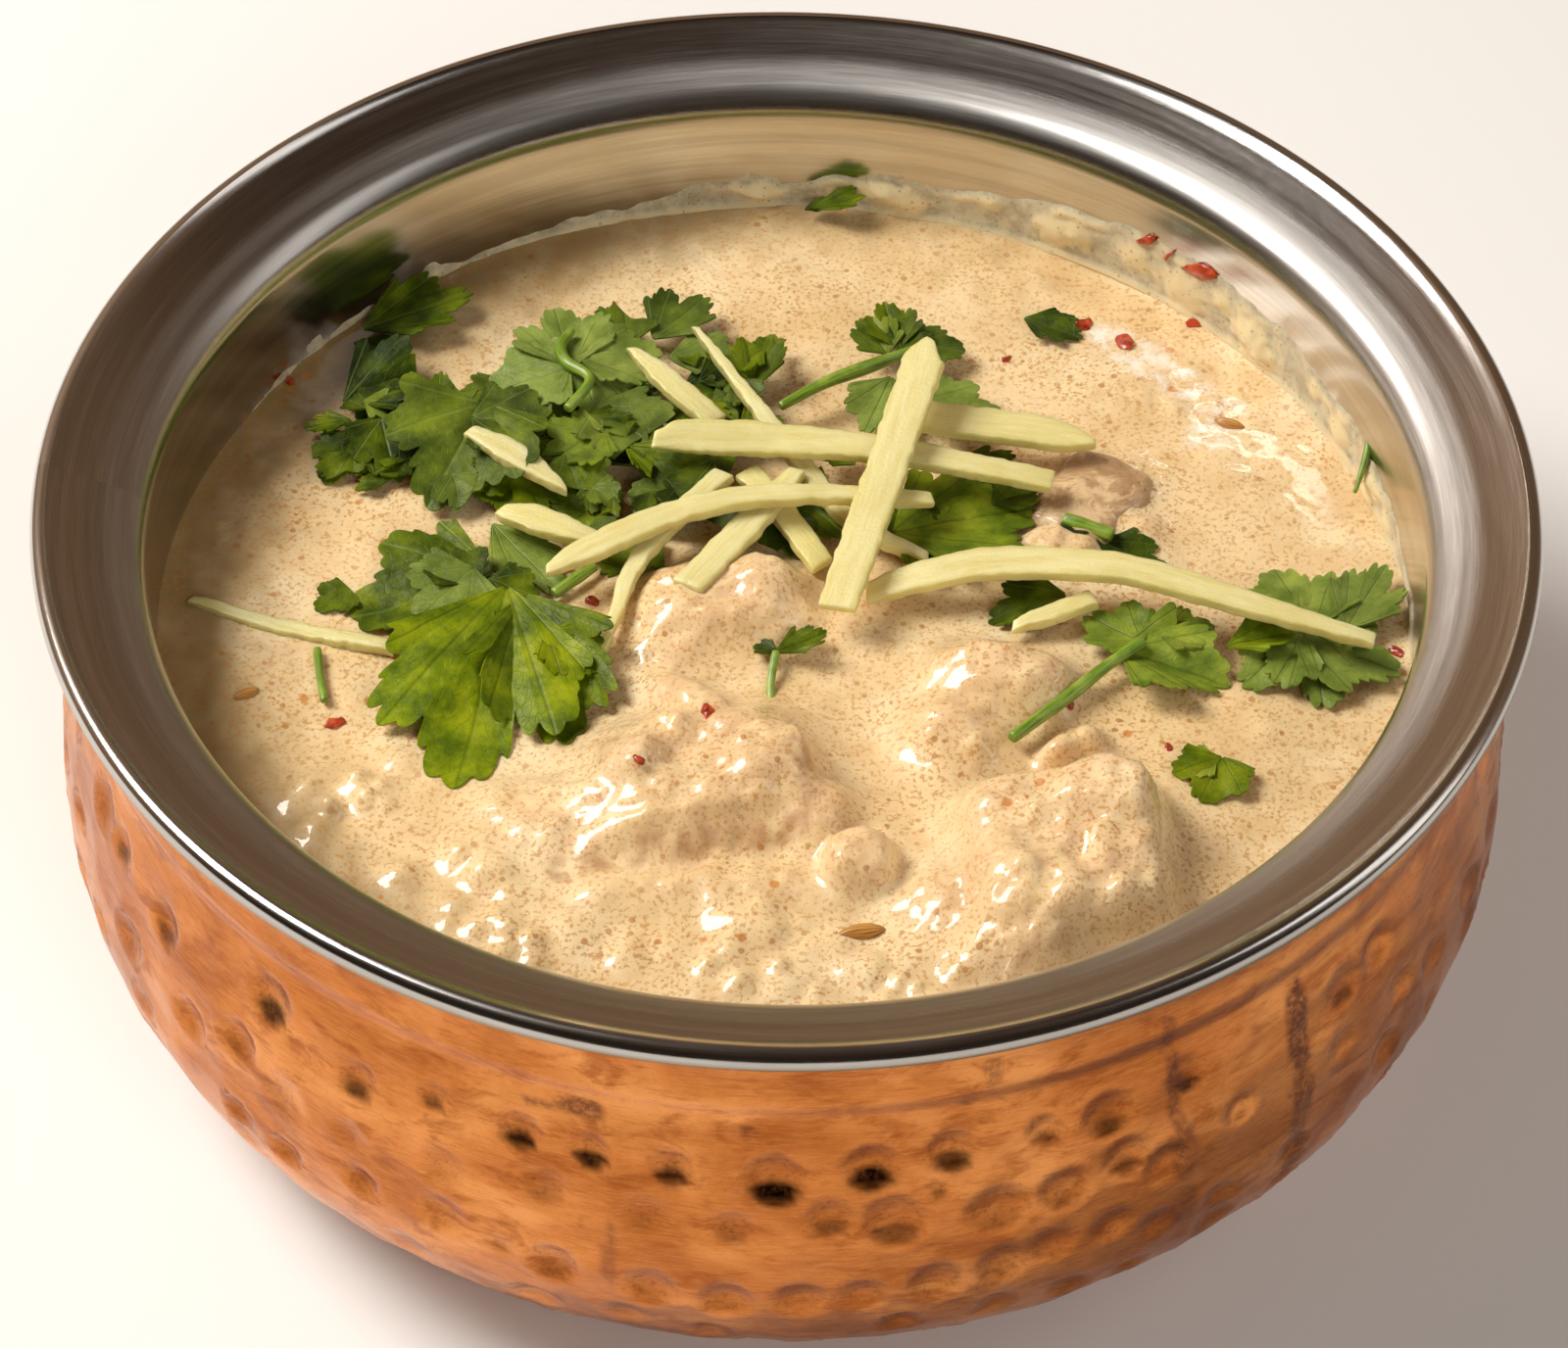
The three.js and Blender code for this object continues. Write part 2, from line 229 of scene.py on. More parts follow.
# ------------------------------------------------------------------ building materials
class Finish:
    """A material being made: its surface shader and short ways to add nodes to it."""

    def __init__(self, name):
        self.material = bpy.data.materials.new(name)
        self.material.use_nodes = True
        self.tree = self.material.node_tree
        self.tree.nodes.clear()
        self.output = self.add("ShaderNodeOutputMaterial")
        self.skin = self.add("ShaderNodeBsdfPrincipled")
        self.link(self.skin.outputs[0], self.output.inputs[0])
        self.place = self.add("ShaderNodeTexCoord").outputs["Object"]

    def add(self, kind, **settings):
        node = self.tree.nodes.new(kind)
        for key, value in settings.items():
            setattr(node, key, value)
        return node

    def link(self, start, end):
        self.tree.links.new(start, end)

    def feed(self, socket, value):
        if isinstance(value, bpy.types.NodeSocket):
            self.link(value, socket)
        elif isinstance(value, tuple) and len(value) == 3 and socket.type == "RGBA":
            socket.default_value = (*value, 1)
        else:
            socket.default_value = value

    def fix(self, **values):
        """Sets constants on the surface shader's own sockets."""
        for key, value in values.items():
            self.feed(self.skin.inputs[key.replace("_", " ")], value)

    def math(self, operation, a, b=0.0, clamp=False):
        node = self.add("ShaderNodeMath", operation=operation, use_clamp=clamp)
        self.feed(node.inputs[0], a)
        self.feed(node.inputs[1], b)
        return node.outputs[0]

    def times(self, a, b):
        return self.math("MULTIPLY", a, b)

    def plus(self, a, b):
        return self.math("ADD", a, b)

    def minus(self, a, b):
        return self.math("SUBTRACT", a, b)

    def stretch(self, scale, where=None):
        """Coordinates scaled along each axis."""
        node = self.add("ShaderNodeMapping")
        self.link(where or self.place, node.inputs["Vector"])
        node.inputs["Scale"].default_value = scale
        return node.outputs[0]

    def noise(self, size, detail=3, rough=0.5, twist=0.0, where=None):
        """Noise whose lumps are about `size` millimetres across, 0 to 1."""
        node = self.add("ShaderNodeTexNoise")
        self.link(where or self.place, node.inputs["Vector"])
        node.inputs["Scale"].default_value = 1 / (size * MM)
        node.inputs["Detail"].default_value = detail
        node.inputs["Roughness"].default_value = rough
        node.inputs["Distortion"].default_value = twist
        return node.outputs["Fac"]

    def cells(self, size, feature="F1", where=None):
        """A pattern of cells about `size` millimetres across."""
        node = self.add("ShaderNodeTexVoronoi", feature=feature)
        self.link(where or self.place, node.inputs["Vector"])
        node.inputs["Scale"].default_value = 1 / (size * MM)
        node.inputs["Randomness"].default_value = 1.0
        return node

    def ramp(self, value, *stops):
        """Maps a number to the colours or greys at the given stops."""
        node = self.add("ShaderNodeValToRGB")
        self.link(value, node.inputs[0])
        band = node.color_ramp
        band.interpolation = "LINEAR"
        while len(band.elements) < len(stops):
            band.elements.new(0.5)
        for element, (place, colour) in zip(band.elements, stops):
            element.position = place
            grey = isinstance(colour, (int, float))
            element.color = (colour,) * 3 + (1,) if grey else (*colour, 1)
        return node.outputs[0]

    def mix(self, share, a, b):
        node = self.add("ShaderNodeMix", data_type="RGBA", blend_type="MIX")
        self.feed(node.inputs["Factor"], share)
        self.feed(node.inputs[6], a)
        self.feed(node.inputs[7], b)
        return node.outputs[2]

    def tint(self, tone, colour, share, strength):
        """Lays a colour over the tone, where `share` says and as strongly as `strength`."""
        return self.mix(self.times(share, strength), tone, colour)

    def value(self, name):
        """What the piece stores under this name."""
        return self.add("ShaderNodeAttribute", attribute_name=name).outputs["Fac"]

    def flat(self):
        """The piece's own UV map."""
        return self.add("ShaderNodeTexCoord").outputs["UV"]

    def split(self, vector):
        node = self.add("ShaderNodeSeparateXYZ")
        self.link(vector, node.inputs[0])
        return node.outputs

    def combine(self, x, y, z=0.0):
        node = self.add("ShaderNodeCombineXYZ")
        for socket, value in zip(node.inputs, (x, y, z)):
            self.feed(socket, value)
        return node.outputs[0]

    def round_the_axis(self, stretch_round=1.0):
        """Coordinates that follow the bowl: radius, length round the axis, height."""
        x, y, z = self.split(self.place)
        radius = self.math("SQRT", self.plus(self.times(x, x), self.times(y, y)))
        angle = self.math("ARCTAN2", y, x)
        return self.combine(radius, self.times(angle, WRAP_R * stretch_round), z)

    def ragged(self, shift):
        """The piece's coordinates, shaken by up to `shift` metres so that specks aren't round."""
        bent = self.add("ShaderNodeVectorMath", operation="ADD")
        self.link(self.place, bent.inputs[0])
        shake = self.add("ShaderNodeTexNoise")
        self.link(self.place, shake.inputs["Vector"])
        shake.inputs["Scale"].default_value = 2600
        small = self.add("ShaderNodeVectorMath", operation="SCALE")
        self.link(shake.outputs["Color"], small.inputs[0])
        small.inputs["Scale"].default_value = shift
        self.link(small.outputs[0], bent.inputs[1])
        return bent.outputs[0]

    def bump(self, height, depth, under=None):
        """Relief whose full height is `depth` millimetres, over another relief."""
        node = self.add("ShaderNodeBump")
        node.inputs["Strength"].default_value = 1
        node.inputs["Distance"].default_value = depth * MM
        self.link(height, node.inputs["Height"])
        if under is not None:
            self.link(under, node.inputs["Normal"])
        return node.outputs[0]


# ------------------------------------------------------------------ finishes
def steel_finish():
    """Steel brushed in rings, with fine scratches, a duller haze and painted shade on the rim's rolled
    edge and underside.
    """
    f = Finish("brushed_steel")
    ring = f.round_the_axis(0.02)
    strands = f.noise(0.16, detail=5, rough=0.7, where=ring)
    bands = f.noise(1.6, detail=3, rough=0.6, where=ring)
    haze = f.noise(16, detail=3, rough=0.6)
    scratch = f.cells(5, "DISTANCE_TO_EDGE", where=f.stretch((0.5, 1.4, 1)))
    nicks = f.ramp(scratch.outputs["Distance"], (0.0, 1), (0.012, 0))
    few = f.ramp(f.noise(9, detail=2), (0.56, 0), (0.62, 1))
    nicks = f.times(nicks, few)
    tone = f.ramp(strands, (0.3, (0.52, 0.50, 0.48)), (0.7, (0.70, 0.69, 0.67)))
    tone = f.tint(tone, (0.50, 0.47, 0.44), haze, 0.35)
    tone = f.tint(tone, (0.8, 0.78, 0.75), nicks, 0.2)
    tone = f.mix(f.ramp(bands, (0.42, 0.4), (0.6, 0)), tone, (0.36, 0.34, 0.32))
    # Painted shade: the lower part of the rim's rolled outer edge and its underside are coloured dark
    # brown and made rougher, as if in shadow.
    radius, _, height = f.split(f.round_the_axis())
    # Ten times a place in metres fits a ramp, which goes from 0 to 1.
    low = f.ramp(f.times(height, 10), (0.613, 1), (0.619, 0))
    outer = f.ramp(f.times(radius, 10), (0.776, 0), (0.786, 1))
    painted_rim_shade = f.times(low, outer)
    tone = f.mix(painted_rim_shade, tone, (0.33, 0.275, 0.205))
    f.fix(Base_Color=tone, Metallic=1.0, Anisotropic=0.4)
    rough = f.plus(f.times(bands, 0.14), f.times(strands, 0.12))
    rough = f.plus(rough, f.times(haze, 0.06))
    rough = f.plus(rough, f.times(painted_rim_shade, 0.15))
    worn = f.ramp(f.times(radius, 10), (0.684, 0), (0.69, 1), (0.722, 1), (0.742, 0))
    rough = f.plus(rough, f.times(worn, 0.16))
    f.fix(Roughness=f.plus(rough, 0.03))
    lines = f.bump(strands, 0.006)
    f.fix(Normal=f.bump(nicks, 0.002, lines))
    tangent = f.add("ShaderNodeTangent", direction_type="RADIAL", axis="Z")
    f.link(tangent.outputs[0], f.skin.inputs["Tangent"])
    return f.material


def copper_finish():
    """Hammered copper: warm metal, brown patina that gathers in the dents, painted shade on their lower
    sides, brushed lines and stains.
    """
    f = Finish("hammered_copper")
    ring = f.round_the_axis(0.09)
    brushed = f.noise(0.28, detail=5, rough=0.72, where=ring)
    clouds = f.noise(11, detail=5, rough=0.6, twist=0.3, where=f.round_the_axis(0.6))
    grain = f.noise(0.7, detail=4, rough=0.7)
    mottle = f.noise(3.0, detail=5, rough=0.65, twist=0.5, where=f.round_the_axis(0.4))
    dent = f.value("dent")
    stain = f.value("stain")
    tone = f.ramp(clouds, (0.34, (0.47, 0.142, 0.028)), (0.50, (0.62, 0.210, 0.049)),
                  (0.64, (0.80, 0.32, 0.092)))
    tone = f.mix(f.ramp(mottle, (0.50, 0), (0.64, 0.72)), tone, (0.36, 0.088, 0.013))
    tone = f.mix(f.ramp(brushed, (0.5, 0), (0.75, 0.5)), tone, (0.74, 0.33, 0.125))
    tone = f.mix(f.ramp(brushed, (0.25, 0.5), (0.46, 0)), tone, (0.24, 0.066, 0.015))
    gathered = f.times(dent, f.ramp(mottle, (0.34, 0.35), (0.56, 1)))
    tone = f.tint(tone, (0.27, 0.070, 0.013), gathered, 0.55)
    freckle = f.ramp(grain, (0.54, 0), (0.62, 1))
    tone = f.mix(f.times(f.times(freckle, dent), 0.5), tone, (0.10, 0.026, 0.008))
    # Painted shade: near-black on the lower side of the dents, where their hollows face away from the
    # light.
    painted_dent_shade = f.times(f.value("painted_dent_shade"), f.ramp(grain, (0.30, 0.7), (0.5, 1)))
    tone = f.mix(painted_dent_shade, tone, (0.012, 0.005, 0.003))
    marks = f.times(stain, f.ramp(grain, (0.36, 0.35), (0.56, 1)))
    tone = f.mix(marks, tone, (0.13, 0.042, 0.026))
    f.fix(Base_Color=tone, Metallic=1.0)
    rough = f.plus(f.times(mottle, 0.16), f.times(brushed, 0.16))
    rough = f.plus(rough, f.times(f.math("MAXIMUM", f.value("painted_dent_shade"), stain), 0.12))
    f.fix(Roughness=f.plus(rough, 0.13))
    lines = f.bump(brushed, 0.010)
    f.fix(Normal=f.bump(grain, 0.012, lines))
    return f.material


def specks(f, size, least, share, where=None):
    """Small round specks of uneven size, one in some of the cells of a pattern."""
    cell = f.cells(size, where=where)
    lucky = f.split(cell.outputs["Color"])
    reach = f.times(lucky[1], share)
    chosen = f.math("GREATER_THAN", lucky[0], least)
    inside = f.minus(reach, cell.outputs["Distance"])
    edge = f.math("MULTIPLY", inside, 14, clamp=True)
    return f.times(edge, chosen)


def gravy_finish():
    """Cream gravy: specks of spice, oil drops, small pits, a wet skin, and browner sauce at the edge
    that on the left also paints the wall's shadow.
    """
    f = Finish("cream_gravy")
    drift = f.noise(17, detail=3, rough=0.55, twist=0.5)
    patch = f.noise(5, detail=4, rough=0.6)
    fine = f.noise(0.9, detail=2, rough=0.5)
    meat = f.value("meat")
    curd = f.value("curd")
    edge = f.value("edge")
    tone = f.ramp(drift, (0.34, (0.84, 0.605, 0.315)), (0.52, (0.90, 0.68, 0.385)),
                  (0.68, (0.94, 0.75, 0.46)))
    tone = f.mix(f.ramp(patch, (0.44, 0), (0.62, 0.55)), tone, (0.74, 0.50, 0.235))
    tone = f.mix(f.value("bare"), tone, (0.50, 0.27, 0.125))
    tone = f.tint(tone, (0.76, 0.50, 0.28), meat, 0.6)
    tone = f.tint(tone, (0.88, 0.68, 0.38), curd, 0.6)
    # Darker brown near the wall: thin browner sauce all round, and painted shadow of the wall and rim
    # on the left.
    tone = f.tint(tone, (0.27, 0.160, 0.045), edge, 0.9)
    where = f.ragged(0.00022)
    thick_spiced = f.ramp(f.noise(11, detail=3, rough=0.6), (0.36, 0.55), (0.62, 1))
    grit = f.noise(0.52, detail=3, rough=0.62)
    dusty = f.ramp(grit, (0.535, 0), (0.61, 1))
    dust = f.math("MAXIMUM", dusty, specks(f, 0.80, 0.45, 0.34, where))
    dust = f.times(dust, thick_spiced)
    crumbs = f.times(specks(f, 1.5, 0.3, 0.32, where), thick_spiced)
    flakes = specks(f, 3.4, 0.72, 0.22, where)
    dark = specks(f, 5.2, 0.90, 0.06, where)
    tone = f.tint(tone, (0.55, 0.255, 0.045), dust, 0.72)
    tone = f.tint(tone, (0.46, 0.165, 0.018), crumbs, 0.7)
    tone = f.tint(tone, (0.60, 0.20, 0.015), flakes, 0.75)
    tone = f.tint(tone, (0.05, 0.025, 0.015), dark, 0.85)
    foam = f.value("foam")
    foam = f.times(foam, f.ramp(f.noise(2.4, detail=4, rough=0.7), (0.42, 0), (0.6, 1)))
    tone = f.tint(tone, (0.97, 0.92, 0.82), foam, 0.85)
    f.fix(Base_Color=tone, Subsurface_Weight=0.35, Subsurface_Scale=0.0022)
    f.fix(Subsurface_Radius=(1.0, 0.62, 0.3), Specular_IOR_Level=0.4)
    f.fix(Coat_Weight=0.75, Coat_Roughness=0.05)
    f.fix(Roughness=f.plus(f.times(patch, 0.2), 0.34))
    pits = f.plus(f.times(dust, -0.5), f.times(crumbs, 0.6))
    ground = f.bump(fine, 0.06)
    f.fix(Normal=f.bump(pits, 0.035, ground))
    return f.material


def meat_finish():
    """Cooked chicken seen through a thin coat of gravy, with its grain."""
    f = Finish("chicken_meat")
    grain = f.noise(0.5, detail=4, rough=0.6, where=f.stretch((0.3, 1, 1)))
    patch = f.noise(3, detail=4, rough=0.6)
    tone = f.ramp(patch, (0.35, (0.42, 0.245, 0.115)), (0.6, (0.62, 0.40, 0.20)))
    tone = f.mix(f.ramp(grain, (0.4, 0.4), (0.6, 0)), tone, (0.44, 0.24, 0.12))
    dust = specks(f, 0.7, 0.5, 0.4)
    tone = f.tint(tone, (0.30, 0.13, 0.035), dust, 0.6)
    cream = f.noise(4.0, detail=4, rough=0.65, twist=0.8)
    tone = f.mix(f.ramp(cream, (0.50, 0), (0.60, 0.8)), tone, (0.82, 0.60, 0.34))
    f.fix(Base_Color=tone, Subsurface_Weight=0.3, Subsurface_Scale=0.002, Roughness=0.34)
    f.fix(Subsurface_Radius=(1.0, 0.5, 0.3), Coat_Weight=0.5, Coat_Roughness=0.1)
    coarse = f.bump(f.noise(1.6, detail=3), 0.35)
    f.fix(Normal=f.bump(grain, 0.2, coarse))
    return f.material


def ginger_finish():
    """Raw ginger: pale yellow, moist, with fine fibres that run along the strip."""
    f = Finish("raw_ginger")
    flat = f.flat()
    fibre = f.noise(1.0, detail=5, rough=0.65, where=f.stretch((0.00025, 0.004, 1), flat))
    broad = f.noise(1.0, detail=3, rough=0.6, where=f.stretch((0.00012, 0.0009, 1), flat))
    blush = f.noise(6, detail=3)
    side = f.value("side")
    wet = f.noise(0.45, detail=3, rough=0.6)
    warm = f.value("warm")
    tone = f.ramp(broad, (0.36, (0.72, 0.61, 0.24)), (0.6, (0.82, 0.73, 0.37)))
    tone = f.mix(warm, tone, (0.80, 0.68, 0.24))
    tone = f.mix(f.ramp(fibre, (0.46, 0), (0.66, 0.35)), tone, (0.90, 0.83, 0.50))
    tone = f.mix(f.ramp(blush, (0.5, 0), (0.7, 0.4)), tone, (0.62, 0.55, 0.20))
    tone = f.tint(tone, (0.58, 0.50, 0.17), side, 0.55)
    f.fix(Base_Color=tone, Subsurface_Weight=0.6, Subsurface_Scale=0.0028, Roughness=0.36)
    f.fix(Subsurface_Radius=(1.0, 0.9, 0.4), Coat_Weight=0.15, Coat_Roughness=0.2)
    grit = f.bump(wet, 0.09)
    f.fix(Normal=f.bump(fibre, 0.07, grit))
    return f.material


def leaf_finish():
    """Coriander leaf: green from dark to yellowish, its darkest tones painted shade for leaves deep in
    the heaps, with branched veins and a satin skin.
    """
    f = Finish("coriander_leaf")
    along, across, _ = f.split(f.flat())
    leaf_green_and_shade = f.value("tone")
    pale = f.value("pale")
    off = f.math("ABSOLUTE", f.minus(across, 0.5))
    for lobe in (0.245, 0.436):
        from_lobe = f.minus(f.math("ABSOLUTE", f.minus(across, 0.5)), lobe)
        off = f.math("MINIMUM", off, f.math("ABSOLUTE", from_lobe))
    main = f.ramp(f.times(off, along), (0.0, 1), (0.007, 0))
    herring = f.minus(f.times(along, 8), f.times(off, 26))
    rib = f.math("ABSOLUTE", f.minus(f.math("FRACT", herring), 0.5))
    ribs = f.ramp(rib, (0.0, 0.5), (0.035, 0))
    net = f.cells(1.2, "DISTANCE_TO_EDGE")
    mesh = f.ramp(net.outputs["Distance"], (0.0, 0.3), (0.04, 0))
    veins = f.math("MAXIMUM", f.math("MAXIMUM", main, ribs), mesh)
    blotch = f.noise(4.5, detail=4, rough=0.6)
    # The dark tones are partly the leaves' own deep green and partly painted shade for leaves deep in
    # the heaps.
    dark = f.ramp(blotch, (0.35, (0.008, 0.017, 0.001)), (0.5, (0.030, 0.053, 0.002)),
                  (0.65, (0.085, 0.130, 0.004)))
    light = f.ramp(blotch, (0.35, (0.105, 0.165, 0.002)), (0.5, (0.225, 0.300, 0.003)),
                   (0.65, (0.390, 0.450, 0.006)))
    tone = f.mix(leaf_green_and_shade, dark, light)
    under = f.ramp(blotch, (0.35, (0.20, 0.28, 0.045)), (0.65, (0.40, 0.49, 0.120)))
    tone = f.mix(pale, tone, under)
    lighter = f.mix(0.42, tone, (0.36, 0.48, 0.12))
    darker = f.mix(0.62, tone, (0.020, 0.045, 0.004))
    vein_tone = f.mix(f.ramp(leaf_green_and_shade, (0.45, 0), (0.65, 1)), lighter, darker)
    tone = f.mix(f.times(veins, 0.6), tone, vein_tone)
    f.fix(Base_Color=tone, Roughness=0.42, Subsurface_Weight=0.12, Subsurface_Scale=0.001)
    f.fix(Subsurface_Radius=(0.4, 1.0, 0.2), Specular_IOR_Level=0.22)
    crinkle = f.bump(f.noise(1.1, detail=3), 0.12)
    f.fix(Normal=f.bump(veins, -0.07, crinkle))
    glow = f.add("ShaderNodeBsdfTranslucent")
    f.feed(glow.inputs["Color"], f.mix(0.5, tone, (0.44, 0.52, 0.005)))
    both = f.add("ShaderNodeMixShader")
    both.inputs[0].default_value = 0.22
    f.link(f.skin.outputs[0], both.inputs[1])
    f.link(glow.outputs[0], both.inputs[2])
    f.link(both.outputs[0], f.output.inputs[0])
    return f.material


def stem_finish():
    """Coriander stalk: moist green with fine ribs along it."""
    f = Finish("coriander_stalk")
    ribs = f.noise(1.0, detail=3, where=f.stretch((0.0001, 0.0028, 1), f.flat()))
    tone = f.ramp(ribs, (0.35, (0.085, 0.17, 0.006)), (0.65, (0.24, 0.36, 0.03)))
    tone = f.mix(f.ramp(f.noise(2.5), (0.45, 0), (0.7, 0.5)), tone, (0.40, 0.50, 0.09))
    f.fix(Base_Color=tone, Roughness=0.34, Subsurface_Weight=0.2, Subsurface_Scale=0.001)
    f.fix(Subsurface_Radius=(0.6, 1.0, 0.3), Coat_Weight=0.2, Coat_Roughness=0.2)
    f.fix(Normal=f.bump(ribs, 0.08))
    return f.material


def chilli_finish():
    """Dried red chilli."""
    f = Finish("chilli_flake")
    patch = f.noise(0.8, detail=3)
    tone = f.ramp(patch, (0.35, (0.24, 0.02, 0.006)), (0.6, (0.58, 0.075, 0.02)))
    f.fix(Base_Color=tone, Roughness=0.3, Coat_Weight=0.3, Coat_Roughness=0.15)
    f.fix(Normal=f.bump(patch, 0.1))
    return f.material


def seed_finish():
    """Brown cumin with fine ribs along it."""
    f = Finish("cumin_seed")
    ribs = f.noise(1.0, detail=2, where=f.stretch((0.0002, 0.003, 1), f.flat()))
    tone = f.ramp(ribs, (0.4, (0.34, 0.13, 0.018)), (0.6, (0.66, 0.33, 0.07)))
    f.fix(Base_Color=tone, Roughness=0.4, Coat_Weight=0.3, Coat_Roughness=0.2)
    f.fix(Normal=f.bump(ribs, 0.1))
    return f.material


# ------------------------------------------------------------------ the bowl
def arc(middle_r, middle_z, radius, start, end, steps):
    """Points of radius and height on an arc between two angles in degrees."""
    angles = np.radians(np.linspace(start, end, steps + 1))
    return [(middle_r + radius * math.cos(a), middle_z + radius * math.sin(a)) for a in angles]


def line(start, end, steps):
    """Points after `start` up to `end`."""
    return [tuple(start[k] + (end[k] - start[k]) * i / steps for k in (0, 1))
            for i in range(1, steps + 1)]


def through(points, pitch):
    """A smooth line through the points, cut into steps of about `pitch`."""
    spots = np.array(points, dtype=float)
    padded = np.vstack([2 * spots[0] - spots[1], spots, 2 * spots[-1] - spots[-2]])
    smooth = []
    for p0, p1, p2, p3 in zip(padded, padded[1:], padded[2:], padded[3:]):
        steps = max(1, int(np.linalg.norm(p2 - p1) / pitch))
        for t in np.linspace(0, 1, steps, endpoint=False):
            bend = (2 * p0 - 5 * p1 + 4 * p2 - p3) * t ** 2
            smooth.append(0.5 * (2 * p1 + (p2 - p0) * t + bend
                                 + (3 * p1 - p0 - 3 * p2 + p3) * t ** 3))
    return [tuple(p) for p in smooth] + [tuple(spots[-1])]


def draw_out(profile):
    """Draws the selected ring out through the other rings of a profile of radius and height."""
    for (r1, z1), (r2, z2) in zip(profile, profile[1:]):
        bpy.ops.mesh.extrude_region_move(TRANSFORM_OT_translate={"value": (0, 0, (z2 - z1) * MM)})
        bpy.ops.transform.resize(value=(r2 / r1, r2 / r1, 1), center_override=(0, 0, z2 * MM))


def turned(name, profile, around):
    """A closed piece of sheet turned about the bowl's axis, drawn out ring by ring."""
    let_go()
    bpy.ops.mesh.primitive_circle_add(vertices=around, radius=profile[0][0] * MM,
                                      location=(0, 0, profile[0][1] * MM))
    piece = fresh(name)
    bpy.ops.object.mode_set(mode="EDIT")
    bpy.ops.mesh.select_all(action="SELECT")
    draw_out(profile)
    close_up()
    return piece


def liner_profile():
    """The liner's section: inside from the middle up and over the rim, then back down outside."""
    corner = (MOUTH_R - CORNER - 0.3, FLOOR_Z + SHEET + CORNER)
    lip = RIM_R - 0.6
    bend_end = 90 + math.degrees(math.atan(RIM_SLOPE))

    def rim_top(radius):
        return HEIGHT - (lip - radius) * RIM_SLOPE

    def rim_under(radius):
        return edge - (lip - radius) * RIM_SLOPE

    bend_r = MOUTH_R + BEND
    touch = bend_r + BEND * math.cos(math.radians(bend_end))
    bend_z = rim_top(touch) - BEND * math.sin(math.radians(bend_end))
    edge = HEIGHT - 2.6
    wall_r = MOUTH_R + SHEET
    inside = arc(*corner, CORNER, -90, 0, 14)
    middle = (CENTRE_R, FLOOR_Z + SHEET)
    points = [middle] + line(middle, inside[0], 2) + inside[1:]
    points += line(points[-1], (MOUTH_R, bend_z), 10)
    points += arc(bend_r, bend_z, BEND, 180, bend_end, 9)[1:]
    points += line(points[-1], (RIM_R - 1.9, rim_top(RIM_R - 1.9)), 6)
    points += arc(RIM_R - 1.3, HEIGHT - 1.3, 1.3, 100, 0, 8)
    points += arc(RIM_R - 1.1, edge + 1.1, 1.1, 0, -80, 6)
    points += line(points[-1], (wall_r + 2.5, rim_under(wall_r + 2.5)), 4)
    points += line(points[-1], (wall_r, rim_under(wall_r) - 2.5), 3)
    outside = arc(*corner, CORNER + SHEET, 0, -90, 12)
    points += line(points[-1], outside[0], 4) + outside[1:]
    return points + [(CENTRE_R, FLOOR_Z)]


# The shell above its belly: radius and height, up to the groove and bead under the rim.
SHOULDER = [(BELLY_R, BELLY_ARC), (BELLY_R - 0.1, 31), (78.8, 37), (77.6, 44), (76.6, 48.2)]
COLLAR = [
    (76.6, 48.2), (76.38, 49.6), (76.62, 50.8), (76.8, 51.9), (76.66, 53.0), (76.45, 54.6),
    (76.4, 57.7),
]


def shell_profile():
    """The shell's section: outside from the middle up to its edge, then back down inside."""
    belly = BELLY_R - BELLY_ARC
    points = [(CENTRE_R, 0), (34, 0), (belly - 2.5, 0)]
    points += [(r, max(z, 0)) for r, z in arc(belly, BELLY_ARC, BELLY_ARC, -90, 0, 56)]
    points += through(SHOULDER, 0.72)[1:] + through(COLLAR, 0.45)[1:]
    points += [(75.9, 57.8), (75.4, 57.4)]
    points += line(points[-1], (75.2, 49.8), 3) + line((75.2, 49.8), (77.8, 36), 3)
    points += arc(belly, BELLY_ARC, BELLY_ARC - COPPER, 0, -90, 12)
    return points + [(CENTRE_R, COPPER)]


# Stains on the copper: angle round the bowl in degrees (-90 is the front), height, and half sizes.
STAINS = [
    (-60, 51, 0.6, 3, 0.6), (-59.2, 44, 0.9, 5, 0.7), (-58.5, 35, 1.1, 6, 0.6),
    (-58, 26, 1.2, 4, 0.5), (-47.6, 42, 1.3, 7, 0.85), (-47, 31, 1.5, 6, 0.7),
    (-46.8, 22, 1.4, 4, 0.6), (-33, 25, 2.6, 8, 0.45), (-104.4, 48.2, 1.9, 1.4, 0.75),
    (-107.6, 47.4, 1.6, 0.45, 0.65), (-92, 48, 0.6, 0.7, 0.7), (-102, 29, 0.5, 7, 0.45),
    (-74, 54, 0.8, 2.2, 0.5), (-130, 30, 3.0, 3.5, 0.25), (-20, 30, 1.6, 6, 0.4),
    (-150, 27, 4, 5, 0.25), (20, 28, 1.4, 8, 0.5), (95, 34, 1.8, 7, 0.5), (150, 30, 1.4, 7, 0.4),
    (-76, 50, 0.7, 0.7, 0.5),
]
FRONT = (241, 299)              # angles between which the upper dents are given one by one
